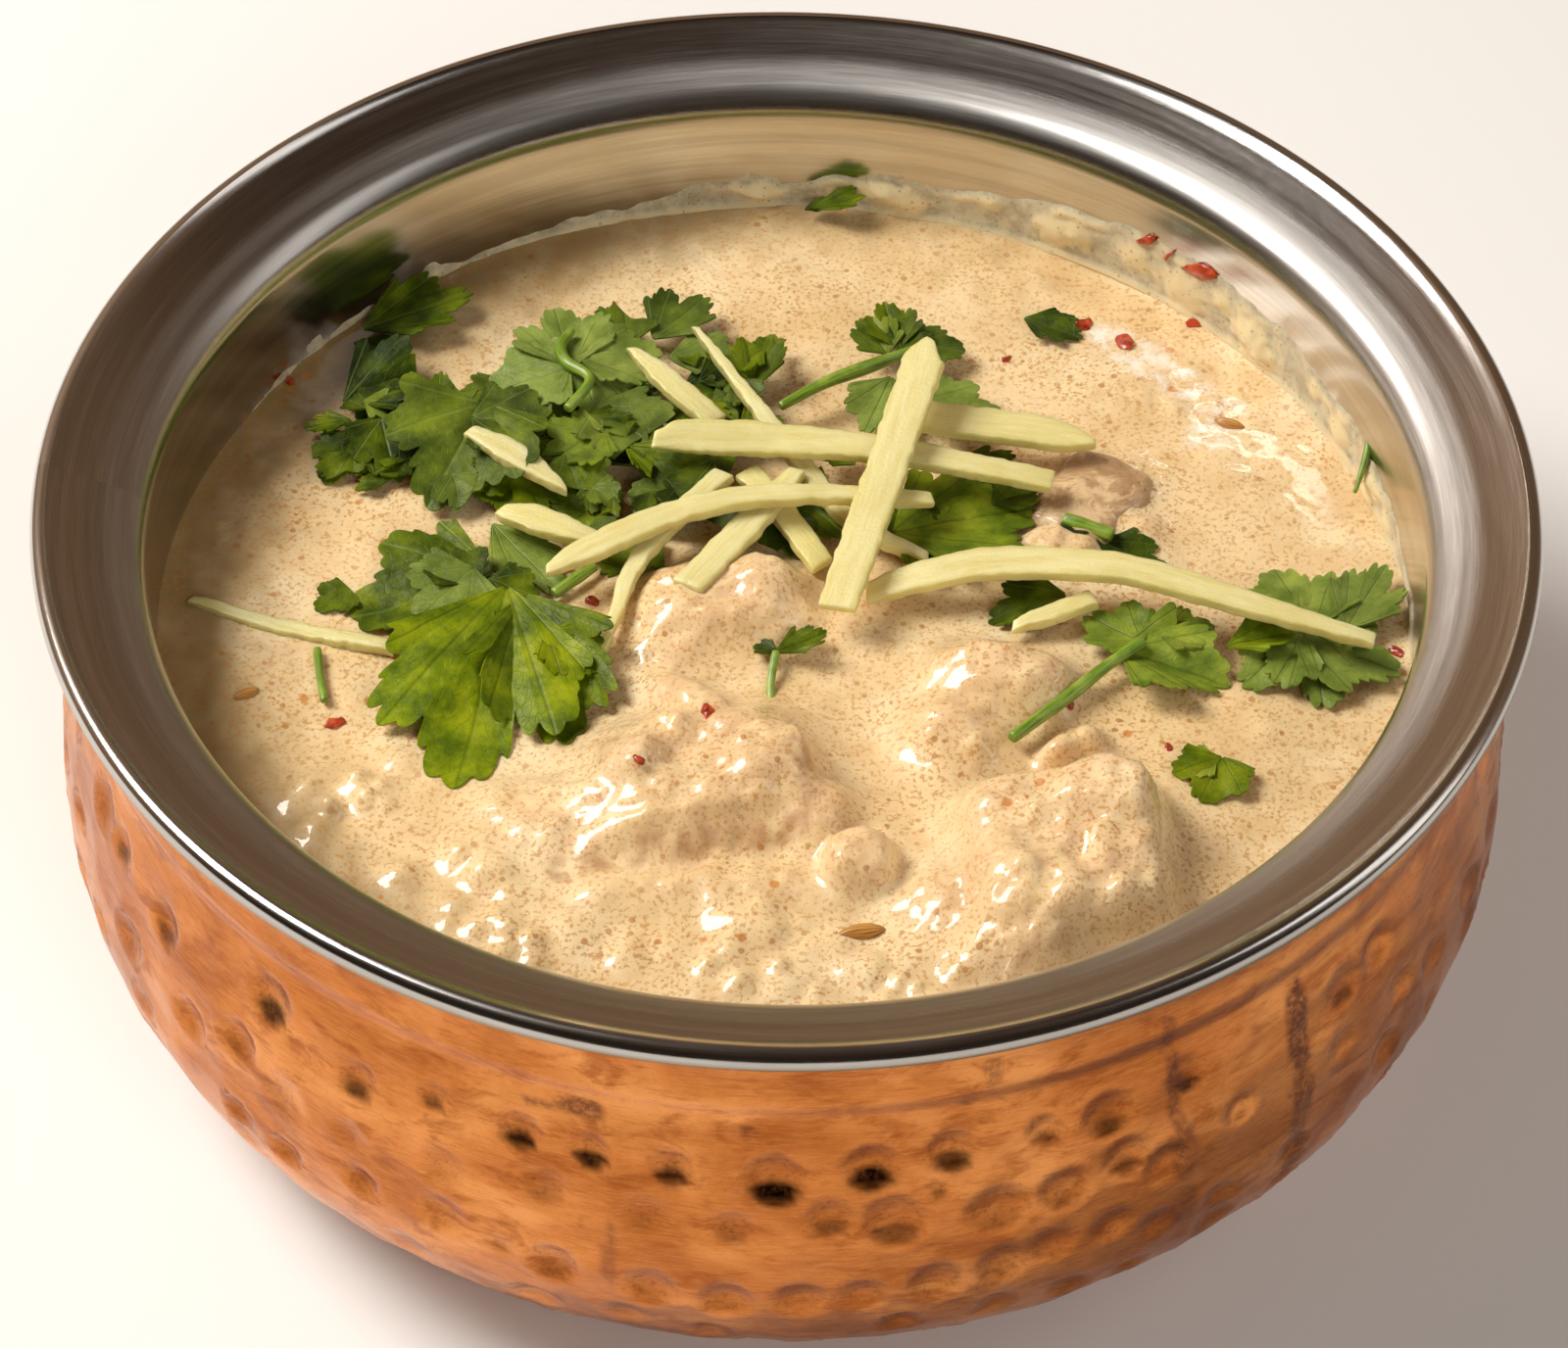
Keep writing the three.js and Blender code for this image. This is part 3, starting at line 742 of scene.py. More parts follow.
# Those dents: angle, height, reach, depth and how dark the painted shade on the lower side is.
FRONT_DENTS = [
    (-116, 44, 2.2, 0.5, 0.5), (-109, 43.4, 2.8, 0.8, 0.9), (-103.5, 43, 2.6, 0.75, 0.9),
    (-97.5, 42.6, 2.8, 0.8, 0.8), (-90, 41.8, 3.7, 1.1, 1.0), (-83, 43, 3.4, 1.0, 1.0),
    (-77, 43.8, 3.1, 0.9, 0.6), (-70, 44, 2.4, 0.7, 0.3), (-65, 43.6, 3.2, 0.9, 0.25),
    (-115, 35, 3.0, 0.5, 0), (-107, 37, 3.0, 0.5, 0.2), (-99.5, 36, 3.0, 0.55, 0),
    (-93, 35, 2.8, 0.6, 0.2), (-86, 36.6, 3.0, 0.8, 0.4), (-81.3, 35.6, 4.0, 1.0, 0.5),
    (-78, 39, 1.4, 0.5, 0.3), (-73.6, 35, 3.8, 0.9, 0.2), (-68.5, 35.4, 3.2, 0.8, 0.2),
    (-63.5, 37, 2.8, 0.8, 0.4), (-115, 28, 3.0, 0.7, 0), (-110.5, 26, 1.6, 0.5, 0.3),
    (-106.3, 25.4, 3.2, 0.9, 0.2), (-99, 24.6, 3.3, 0.9, 0.1), (-93.4, 23.8, 3.2, 0.9, 0.1),
    (-88, 24, 3.1, 0.8, 0), (-83.4, 24.6, 2.8, 0.7, 0), (-78, 25.4, 3.3, 0.9, 0.1),
    (-73, 26.4, 3.2, 0.9, 0.2), (-69.4, 27.6, 3.0, 0.8, 0.1), (-64.2, 27.4, 2.8, 0.7, 0),
]


def hammer(piece):
    """Beats rows of round dents and wide shallow facets into the outside of the belly."""
    spots = points_of(piece)
    dice = random.Random(SEED)
    radius = np.hypot(spots[:, 0], spots[:, 1])
    angle = np.arctan2(spots[:, 1], spots[:, 0])
    height = spots[:, 2]
    belly = BELLY_R - BELLY_ARC
    low = height < BELLY_ARC
    lean = np.where(low, np.arctan2(BELLY_ARC - height, np.maximum(radius - belly, 0.01)), 0)
    along = np.where(low, -BELLY_ARC * lean, height - BELLY_ARC)
    inner = np.hypot(radius - belly, height - BELLY_ARC) < BELLY_ARC - 0.5 * COPPER
    outside = np.where(low, (~inner) & (radius > belly - 1), radius > 76.15)
    zone = smooth_step(-37, -33, along) * (1 - smooth_step(21.5, 23.5, along)) * outside
    depth = np.zeros(len(spots))
    mark = np.zeros(len(spots))
    # How dark the painted shade on the lower side of the dents is.
    painted_dent_shade = np.zeros(len(spots))
    lips = np.zeros(len(spots))

    def strike(at, up, reach, deep, stretch=1.0):
        """Beats one dent, and gives its bowl, its raised lip and the mask for the painted shade on its
        lower side.
        """
        gap = turn_between(angle, at)
        near = np.hypot(gap * BELLY_R / stretch, along - up) / reach
        bowl = np.clip(1 - near ** 2, 0, None) ** 1.3 * deep
        lip = 0.12 * deep * np.exp(-((near - 1.10) / 0.14) ** 2)
        np.maximum(depth, bowl, out=depth)
        lower = (up - along) / reach - 0.45 * (gap * BELLY_R / reach) ** 2
        # Painted shade on the dent's lower side: a crescent inside its rim.
        painted_crescent = smooth_step(0.16, 0.34, lower) * (1 - smooth_step(0.74, 0.92, near))
        return bowl, lip, painted_crescent

    for up in np.arange(-34, 21, 6.2):
        count = int(FULL_TURN * BELLY_R / 9.4)
        for i in range(count):
            at = (i + 0.5 * (int(up) % 2) + dice.uniform(-0.28, 0.28)) / count * FULL_TURN
            place = up + dice.uniform(-1.6, 1.6)
            strike(at, place, dice.uniform(4.2, 6.4), dice.uniform(0.12, 0.42), 1.1)
    wide = depth.copy()
    depth[:] = 0
    for up in (17.5, 8.0, -0.5, -8.5, -16.5, -24.5, -31):
        count = int(FULL_TURN * (BELLY_R - max(0, -up - 15) * 0.6) / 9.2)
        for i in range(count):
            if dice.random() < (0.12 if up < 10 else 0.30):
                continue
            at = ((i + dice.uniform(-0.25, 0.25)) / count * FULL_TURN + up) % FULL_TURN
            front = math.radians(FRONT[0]) < at < math.radians(FRONT[1])
            if up > -5 and front:
                continue
            place = up + dice.uniform(-2.4, 2.4)
            bowl, lip, dark = strike(at, place, dice.uniform(2.3, 3.4), dice.uniform(0.45, 0.95))
            np.maximum(lips, lip, out=lips)
            np.maximum(mark, dice.uniform(0.3, 0.9) * np.minimum(1, bowl / 0.4), out=mark)
            if up > 10:
                np.maximum(painted_dent_shade, dice.uniform(0, 0.9) * dark, out=painted_dent_shade)
    for degrees, height_up, reach, deep, crescent_shade in FRONT_DENTS:
        bowl, lip, dark = strike(math.radians(degrees), height_up - BELLY_ARC, reach, deep)
        np.maximum(lips, lip, out=lips)
        np.maximum(mark, 0.7 * np.minimum(1, bowl / 0.4), out=mark)
        np.maximum(painted_dent_shade, crescent_shade * dark, out=painted_dent_shade)
    push = (wide * 0.9 + depth - lips * (depth < 0.02)) * zone
    out = side_by_side(np.cos(angle) * np.cos(lean), np.sin(angle) * np.cos(lean), -np.sin(lean))
    move_points(piece, spots - out * push[:, None])
    write_value(piece, "dent", np.clip(mark * zone, 0, 1))
    write_value(piece, "painted_dent_shade", np.clip(painted_dent_shade * zone, 0, 1))
    stain = np.zeros(len(spots))
    ragged = wobble(angle * BELLY_R, height, 5, 3)
    for degrees, up, half, tall, strength in STAINS:
        gap = turn_between(angle, math.radians(degrees))
        near = np.hypot(gap * BELLY_R / (half * 1.4), (height - up) / tall) + 0.22 * ragged
        stain = np.maximum(stain, strength * (1 - smooth_step(0.75, 1.05, near)))
    write_value(piece, "stain", stain * outside)


def make_bowl():
    liner = turned("steel_liner", liner_profile(), LINER_SIDES)
    finish_piece(liner, steel_finish(), ["bowl_liner"], angle=50)
    shell = turned("hammered_shell", shell_profile(), SHELL_SIDES)
    hammer(shell)
    finish_piece(shell, copper_finish(), ["copper_shell"], angle=50)


# ------------------------------------------------------------------ the gravy and the chicken
# Meat under its coat of gravy: x, y, half length, half width, turn in degrees, height,
# squareness of its outline and steepness of its sides.
MOUNDS = [
    (-7.0, -0.5, 9.6, 6.2, 8, 4.7, 2.6, 5), (-12.6, -7.0, 4.8, 5.6, 20, 2.4, 2.0, 3.5),
    (-2.4, 1.6, 4.4, 3.6, -20, 5.4, 2.0, 4), (-8.0, -26.8, 12.4, 9.6, 12, 5.8, 2.8, 6),
    (-1.4, -26.6, 4.8, 5.8, -25, 7.3, 2.3, 5), (-15.4, -27.4, 3.8, 3.5, 0, 6.7, 2.0, 4),
    (-9.2, -16.8, 7.0, 3.0, -42, 4.6, 2.0, 3.5), (3.2, -31.4, 4.0, 5.2, -40, 4.4, 2.2, 4),
    (8.0, -38.0, 3.9, 3.6, 0, 4.7, 2.4, 6), (-24.0, -33.0, 7.5, 6.0, 0, 2.3, 2.0, 3),
    (-6.0, -40.5, 13.0, 3.6, 5, 2.2, 2.0, 3), (22.6, -11.0, 7.4, 4.6, -10, 4.8, 2.3, 4.5),
    (18.3, -18.0, 5.6, 5.2, 30, 3.2, 2.0, 3.5), (28.2, -11.2, 3.6, 3.0, 0, 3.4, 2.0, 4),
    (29.6, -21.0, 2.6, 1.4, 30, 3.2, 2.0, 4), (32.2, -19.4, 2.0, 1.8, 0, 3.0, 2.0, 4),
    (29.4, -38.0, 10.8, 11.0, 6, 7.4, 4.4, 12), (33.4, -32.0, 6.0, 4.6, -5, 8.5, 2.8, 6),
    (18.6, -42.0, 6.0, 6.0, 0, 3.4, 2.0, 3.5), (24.6, -49.0, 7.0, 4.4, 0, 4.8, 2.4, 4),
    (34.0, 17.2, 7.4, 5.8, 65, 2.3, 2.8, 5), (30.6, 9.8, 4.6, 3.3, -20, 2.7, 2.2, 5),
    (38.6, 13.0, 3.4, 2.8, 0, 1.8, 2.0, 4),
]
# Folds and lumps on the meat: x, y, half length, half width, turn, height.
BUMPS = [
    (-12, -21.5, 3.4, 1.3, -38, 0.9), (-5.5, -30, 3.4, 1.6, 20, 0.7),
    (-4.5, -21.5, 3.6, 1.4, 35, 0.7), (1.4, -23.8, 3.2, 1.0, -62, 0.8),
    (-1, -29.5, 2.0, 2.4, 0, -0.6), (-10.5, -26, 3.6, 1.6, 50, -0.7),
    (-8, -33.4, 8.5, 0.9, 13, 0.8), (9, -36.5, 1.4, 1.2, 0, 0.7), (27, -35.5, 3.2, 2.0, 15, 0.9),
    (33.2, -39.5, 2.2, 2.6, 0, 0.8), (24.2, -42.5, 2.4, 2.0, 0, 1.1), (30, -46, 2.4, 1.9, 0, 0.9),
    (35, -46.4, 1.8, 2.4, 0, 0.8), (27, -50, 2.3, 1.7, 0, 0.9), (21.6, -47.6, 2.2, 1.8, 0, 0.9),
    (36.6, -35, 1.3, 4.4, 0, 0.6), (30.5, -41.5, 1.6, 1.4, 0, -0.7),
    (25.2, -38.5, 1.8, 1.5, 0, -0.6), (29.6, -29.8, 1.6, 2.4, 0, -0.5), (33, -43, 1.5, 1.5, 0, 0.7),
    (-10.5, 1.4, 3.0, 1.3, 12, 0.7), (-4.4, -0.4, 1.8, 2.0, 0, 0.6),
    (-7.6, -4.6, 3.6, 1.2, -8, 0.6), (-13.4, -2.8, 1.8, 1.6, 0, 0.7),
    (21.4, -9.6, 3.0, 1.2, 12, 0.6), (25.6, -12.6, 2.2, 1.4, 0, 0.5),
    (17.6, -17.2, 2.2, 1.8, 0, 0.8), (20.4, -21.4, 1.6, 1.3, 0, 0.8),
    (15.4, -20.6, 1.6, 1.4, 0, 0.6), (-20.4, -30.4, 2.6, 1.6, -30, 0.9),
    (-24.6, -27.6, 2.2, 1.5, 20, 0.6), (-18.4, -35.6, 2.4, 1.4, 10, 0.7),
]
# Clusters of curds: x, y, reach, how many grains, height.
CURDS = [
    (-47, -29.5, 5.5, 11, 2.2), (-40, -24, 4, 4, 0.8), (-34, -40.5, 5.5, 10, 2.0),
    (-27, -47, 5, 8, 1.4), (-16, -45, 7, 7, 0.9), (-3, -50, 5.5, 11, 2.0), (5, -46, 5, 6, 1.1),
    (10, -53.5, 5.5, 10, 1.6), (18.5, -55, 5, 6, 1.2), (3, -55, 4, 4, 1.0), (25, -46, 6, 7, 0.8),
    (9, -33, 4, 4, 0.7), (-20, -33, 7, 5, 0.6), (45, 36, 7, 6, 0.7), (52, 26, 5, 5, 0.6),
    (-30, -30, 8, 5, 0.6), (47, -13, 6, 5, 0.6), (17, -17, 5, 4, 0.6), (-42, -12, 6, 4, 0.5),
    (24, 57, 6, 5, 0.5), (37, -20, 5, 4, 0.7),
]


def curd_grains():
    """Single grains of curd: x, y, reach, height."""
    dice = random.Random(SEED + 1)
    grains = []
    for x, y, reach, count, rise in CURDS:
        for _ in range(count):
            at_x, at_y, far = strewn_spot(dice, x, y, reach)
            size = dice.uniform(1.1, 2.7)
            lower = 1.15 - 0.6 * far / reach
            grains.append((at_x, at_y, size, rise * dice.uniform(0.5, 1.05) * lower))
    return grains


GRAINS = curd_grains()


def meat_height(x, y):
    """Soft union of the mounds: height over the gravy level, and the share of meat under the skin."""
    total = np.zeros_like(x)
    share = np.zeros_like(x)
    for cx, cy, half_x, half_y, turn, rise, power, steep in MOUNDS:
        along, across = turned_offsets(x, y, cx, cy, half_x, half_y, turn)
        near = (np.abs(along) ** power + np.abs(across) ** power) ** (1 / power)
        total += (rise / (1 + near ** steep)) ** 4
        share = np.maximum(share, np.clip(1.3 - near, 0, 1) * min(1, rise / 4))
    total = total ** 0.25
    for cx, cy, half_x, half_y, turn, rise in BUMPS:
        along, across = turned_offsets(x, y, cx, cy, half_x, half_y, turn)
        total += rise * np.exp(-(along ** 2 + across ** 2))
    return total, share


def curd_height(x, y):
    """Soft union of the curds."""
    total = np.zeros_like(x)
    for cx, cy, reach, rise in GRAINS:
        near = ((x - cx) ** 2 + (y - cy) ** 2) / reach ** 2
        total += (rise * np.exp(-near)) ** 3
    return np.cbrt(total)


def gravy_top(x, y):
    """Height of the gravy's skin above the table at each point."""
    meat, share = meat_height(x, y)
    level = 0.35 * np.sin(x * 0.09 + 1) * np.cos(y * 0.11) + 0.2 * np.sin(x * 0.23 - y * 0.17)
    level += meat
    level += curd_height(x, y)
    rough = np.clip(share * 1.3 + 0.16, 0, 1)
    level += 0.30 * rough * wobble(x, y, 4.6, 5, 2) + 0.05 * rough * wobble(x, y, 1.5, 6, 2)
    folds = 1 - np.abs(wobble(x * 0.8 + y * 0.3, y * 1.3, 6.5, 12))
    level += 0.24 * np.clip(share * 1.2, 0, 1) * np.clip(folds, 0, 1) ** 3
    wall = np.minimum(np.hypot(x, y), MOUTH_R)
    level += 0.5 * np.exp(-(MOUTH_R - wall) / 0.9)
    return GRAVY_Z + level


def ground_at(x, y):
    """Height of the gravy's skin at one place."""
    return float(gravy_top(np.array([float(x)]), np.array([float(y)]))[0])


# Bent lines on the gravy, x and y: bare meat along the front piece, and white foam at the right.
LEDGE = [(-23, -39.4), (-15, -37.6), (-7.3, -36.2), (-2.5, -35.3), (2.4, -34), (4.2, -31), (1.6, -26)]
FOAM = [(36, 46), (41, 42), (46, 37), (49.5, 32.5), (47.5, 29)]


def make_gravy():
    """The gravy: a fine disc raised over the meat, its side and bottom drawn down in the liner."""
    let_go()
    bpy.ops.mesh.primitive_grid_add(x_subdivisions=GRAVY_CUTS, y_subdivisions=GRAVY_CUTS, size=2)
    piece = fresh("cream_gravy")
    square = points_of(piece) * MM
    u, v = square[:, 0], square[:, 1]
    x = GRAVY_R * u * np.sqrt(1 - v * v / 2)
    y = GRAVY_R * v * np.sqrt(1 - u * u / 2)
    move_points(piece, side_by_side(x, y, gravy_top(x, y)))
    bpy.ops.object.mode_set(mode="EDIT")
    bpy.ops.mesh.select_mode(type="EDGE")
    bpy.ops.mesh.select_all(action="DESELECT")
    bpy.ops.mesh.select_non_manifold()
    bpy.ops.mesh.extrude_region_move(TRANSFORM_OT_translate={"value": (0, 0, -2 * MM)})
    bpy.ops.mesh.extrude_region_move(TRANSFORM_OT_translate={"value": (0, 0, -4 * MM)})
    bpy.ops.transform.resize(value=(1, 1, 0), center_override=(0, 0, GRAVY_SIDE_Z * MM))
    corner = arc(GRAVY_R - CORNER, FLOOR_Z + SHEET + CORNER, CORNER - 0.2, 0, -90, 5)
    draw_out([(GRAVY_R, GRAVY_SIDE_Z)] + corner)
    close_up()
    spots = points_of(piece)
    x, y = spots[:, 0], spots[:, 1]
    _, share = meat_height(x, y)
    bare = 0.55 + 0.6 * wobble(x, y, 9, 9)
    write_value(piece, "meat", np.clip(share * 1.3, 0, 1) * np.clip(bare, 0, 1))
    write_value(piece, "curd", np.clip(curd_height(x, y) / 1.2, 0, 1))
    write_value(piece, "foam", 1 - smooth_step(1.2, 3.8, distance_to_line(x, y, FOAM)))
    patchy = 0.5 + 0.6 * wobble(x, y, 3.5, 31)
    near_ledge = 1 - smooth_step(0.5, 1.9, distance_to_line(x, y, LEDGE))
    write_value(piece, "bare", near_ledge * np.clip(patchy, 0, 1))
    # Near the wall the sauce browns a little all round; on the left this mostly paints the shadow of
    # the wall and rim.
    left = 0.5 - 0.5 * np.clip(x / 40, -1, 1)
    inwards = MOUTH_R - np.hypot(x, y) + 2.5 * wobble(x, y, 8, 4)
    painted_shadow_and_browning = 1 - smooth_step(0, 7 + 10 * left, inwards)
    write_value(piece, "edge", painted_shadow_and_browning * (0.15 + 0.85 * left))
    finish_piece(piece, gravy_finish(), ["gravy"], angle=80)


# Chicken under its coat: node, middle x, y, half sizes, height of its top above the gravy, turn.
CHICKEN = [
    ("chicken_1", -7.5, -1.8, 8.0, 5.0, 3.2, 8), ("chicken_2", -6.0, -27.6, 11.0, 6.6, 2.6, -18),
    ("chicken_3", 22.4, -12.0, 6.4, 3.6, 2.8, -10), ("chicken_4", 29.6, -36.6, 9.8, 9.4, 5.6, 8),
    ("chicken_5", 33.8, 17.4, 7.6, 5.8, 3.0, 62), ("chicken_6", 30.4, 9.3, 4.2, 2.8, 1.9, -20),
]


def make_chicken():
    """Each piece is a block with its edges rounded and its faces made uneven, sunk in the gravy."""
    finish = meat_finish()
    lumps = bpy.data.textures.new("meat_lumps", "CLOUDS")
    lumps.noise_scale = 5 * MM
    for name, x, y, half_x, half_y, rise, turn in CHICKEN:
        let_go()
        middle = (x * MM, y * MM, (GRAVY_Z + (rise - MEAT_DEPTH) / 2) * MM)
        half = (half_x * MM, half_y * MM, (rise + MEAT_DEPTH) / 2 * MM)
        bpy.ops.mesh.primitive_cube_add(size=2, location=middle, scale=half,
                                        rotation=(0, 0, math.radians(turn)))
        piece = fresh("meat_" + name)
        bpy.ops.object.mode_set(mode="EDIT")
        bpy.ops.mesh.select_all(action="SELECT")
        bpy.ops.mesh.bevel(offset=min(half_x, half_y) * 0.5 * MM, segments=3, affect="EDGES")
        bpy.ops.mesh.subdivide(number_cuts=2)
        bpy.ops.object.mode_set(mode="OBJECT")
        round_off(piece)
        work_with(piece, "DISPLACE", texture=lumps, strength=1.2 * MM, mid_level=0.6)
        finish_piece(piece, finish, [name])


# ------------------------------------------------------------------ the ginger
# Each strip, the top one first: x, y, height of its middle above the gravy, width; then how warm
# its yellow is, and how pointed its first and last ends are.
GINGER = [
    ([
        (15.8, 31.6, 11.9, 1.0), (14.9, 28.6, 11.3, 4.6), (14, 25, 10.7, 4.7),
        (5.5, -4.4, 5.2, 4.2),
    ], 0.15, 0.5, 0.1),
    ([
        (-15, 19.2, 7.6, 2.0), (-9, 19.9, 7.5, 4.0), (10, 18.8, 7.0, 3.4), (29.3, 15.4, 5.8, 2.8),
    ], 0.25, 0.3, 0),
    ([
        (-26, 0.4, 5.4, 1.2), (-21, 3.6, 6, 3.1), (-10.5, 9, 6.9, 2.9), (0.5, 11.2, 7.2, 2.5),
        (16, 12, 6, 1.8),
    ], 0.05, 0.6, 0.2),
    ([(-31.7, 11, 3.9, 1.4), (-27, 9.4, 4.1, 3.7), (-18.4, 5.7, 3.8, 0.8)], 0.5, 0.5, 0.8),
    ([(-18, 34.7, 6.9, 0.8), (-13.5, 30, 6.4, 2.8), (-8, 24.6, 5.2, 2.8)], 0.35, 0.8, 0),
    ([(1.2, 17, 5.2, 2.2), (-3.8, 8.9, 5.2, 3.4), (-10.6, -1.2, 4.9, 3.4)], 0.1, 0, 0.15),
    ([(-4.6, 18, 4.1, 3.0), (-0.2, 11.4, 3.7, 2.9), (4, 4.4, 2.9, 2.8)], 0.8, 0, 0.2),
    ([
        (-10.8, 39.4, 6, 0.7), (-2.4, 25.3, 5.2, 1.9), (6.8, 11.6, 3.4, 2.4), (15.6, 6.4, 2.4, 1.2),
    ], 0.1, 0.8, 0.5),
    ([(-7, 16.5, 5.1, 2.6), (-15.8, 4, 4.4, 2.1), (-19.6, -8.5, 2.2, 0.9)], 0.1, 0, 0.8),
    ([
        (14, 25.5, 6, 3.8), (26, 24, 5.6, 4.6), (31, 23.1, 5.3, 3.6), (34.2, 22.4, 5.2, 0.8),
    ], 0.4, 0.1, 0.5),
    ([
        (8.8, 0.4, 2.8, 2.6), (16, 2.2, 4.2, 3.7), (23.4, 3.3, 5, 4.1), (36.1, 1.8, 6, 3.7),
        (46, -1.8, 6, 3.3), (63.3, -7.7, 5, 1.7),
    ], 0.1, 0.3, 0.1),
    ([(24.6, -3.8, 2.2, 1.2), (29, -2, 2.6, 2.2), (33.6, 0, 3, 2.2)], 0.0, 0.6, 0),
    ([(-35.6, 22.3, 5.4, 1.4), (-30, 18.4, 5.2, 3.2), (-24.3, 13.7, 4.6, 0.6)], 0.0, 0.2, 0.9),
    ([(-64.8, 0, 0.35, 1.0), (-55, -4, 0.45, 1.8), (-42.2, -7.1, 0.7, 1.6)], 0.2, 0.5, 0.3),
]


def bar(name, cuts_long, cuts_wide, cuts_thick):
    """A straight bar 2 long, wide and thick, cut finely along each way."""
    let_go()
    bpy.ops.mesh.primitive_cube_add(size=2)
    piece = fresh(name)
    for axis, cuts in ((0, cuts_long), (1, cuts_wide), (2, cuts_thick)):
        bpy.ops.object.mode_set(mode="EDIT")
        bpy.ops.mesh.select_mode(type="EDGE")
        bpy.ops.mesh.select_all(action="DESELECT")
        bpy.ops.object.mode_set(mode="OBJECT")
        vertices = piece.data.vertices
        for edge in piece.data.edges:
            a, b = (vertices[i].co for i in edge.vertices)
            edge.select = abs((a - b)[axis]) > 1e-6
        bpy.ops.object.mode_set(mode="EDIT")
        bpy.ops.mesh.subdivide(number_cuts=cuts)
    bpy.ops.object.mode_set(mode="OBJECT")
    return piece


def along_route(route, share):
    """Points with their widths, directions and the length of a smooth route, at shares of it."""
    spots = np.array(route, dtype=float)
    dense = np.array(through(spots, 0.25))
    steps = np.linalg.norm(np.diff(dense[:, :3], axis=0), axis=1)
    run = np.concatenate([[0], np.cumsum(steps)])
    at = share * run[-1]

    def point_at(where, columns):
        return side_by_side(*(np.interp(where, run, dense[:, k]) for k in range(columns)))

    middle = point_at(at, 4)
    way = point_at(np.minimum(at + 0.3, run[-1]), 3) - point_at(np.maximum(at - 0.3, 0), 3)
    return middle, way / np.linalg.norm(way, axis=1)[:, None], run[-1]


def frame_along(way):
    """Level and upward directions, square to each direction of travel."""
    side = np.cross(np.array([0, 0, 1.0]), way)
    side /= np.linalg.norm(side, axis=1)[:, None]
    return side, np.cross(way, side)


def lay_strip(piece, route, slant, twist, seed):
    """Lays the straight bar along a route as a cut strip with slanted ends and ragged edges."""
    spots = points_of(piece) * MM
    share = (spots[:, 0] + 1) / 2
    middle, way, length = along_route(route, share)
    half = middle[:, 3] / 2
    cross, lift = spots[:, 1], spots[:, 2]
    run = share * length
    fray = 0.10 * wobble(run, cross * 0.5 + seed * 7.0, 2.8, seed)
    fray += 0.07 * wobble(run, cross + lift + seed, 0.9, seed + 1)
    uneven = 1 + 0.05 * wobble(run * 0.7, cross * 2 + seed * 3.0, 9, seed + 5)
    half = half * uneven + fray * np.abs(cross)
    fibres = 0.022 * wobble(run * 0.10 + seed, cross * half, 0.9, seed + 6)
    side, up = frame_along(way)
    roll = np.radians(twist) * (1 - share) ** 2
    side, up = (side * np.cos(roll)[:, None] + up * np.sin(roll)[:, None],
                up * np.cos(roll)[:, None] - side * np.sin(roll)[:, None])
    first, last = slant
    skew = np.where(share < 0.5, first * (1 - 2 * share) ** 8, last * (2 * share - 1) ** 8)
    crown = 1 - 0.12 * np.abs(cross) ** 4 - 0.3 * np.abs(2 * share - 1) ** 16
    sway = 0.06 * wobble(run, lift + seed * 3.0, 3.0, seed + 2)
    place = middle[:, :3] + side * (half * cross + sway)[:, None]
    place = place + up * (GINGER_THICK / 2 * lift * crown + fibres)[:, None]
    place = place + way * (skew * cross * half)[:, None]
    place[:, 2] += GRAVY_Z
    move_points(piece, place)
    write_uv(piece, run + seed * 40, cross * half + lift * GINGER_THICK / 2)
    write_value(piece, "side", np.clip(np.abs(cross) * 3 - 2, 0, 1))


def make_ginger():
    """The ginger strips; the second is twisted most."""
    finish = ginger_finish()
    for number, (route, warm, first, last) in enumerate(GINGER, 1):
        length = math.dist(route[0][:3], route[-1][:3])
        piece = bar(f"ginger_strip_{number}", max(24, int(length / 0.42)), 11, 3)
        lay_strip(piece, route, (first, -last), 35 if number == 2 else 8, number)
        write_value(piece, "warm", np.full(len(piece.data.vertices), warm))
        round_off(piece)
        finish_piece(piece, finish, [f"ginger_{number}"], angle=75)
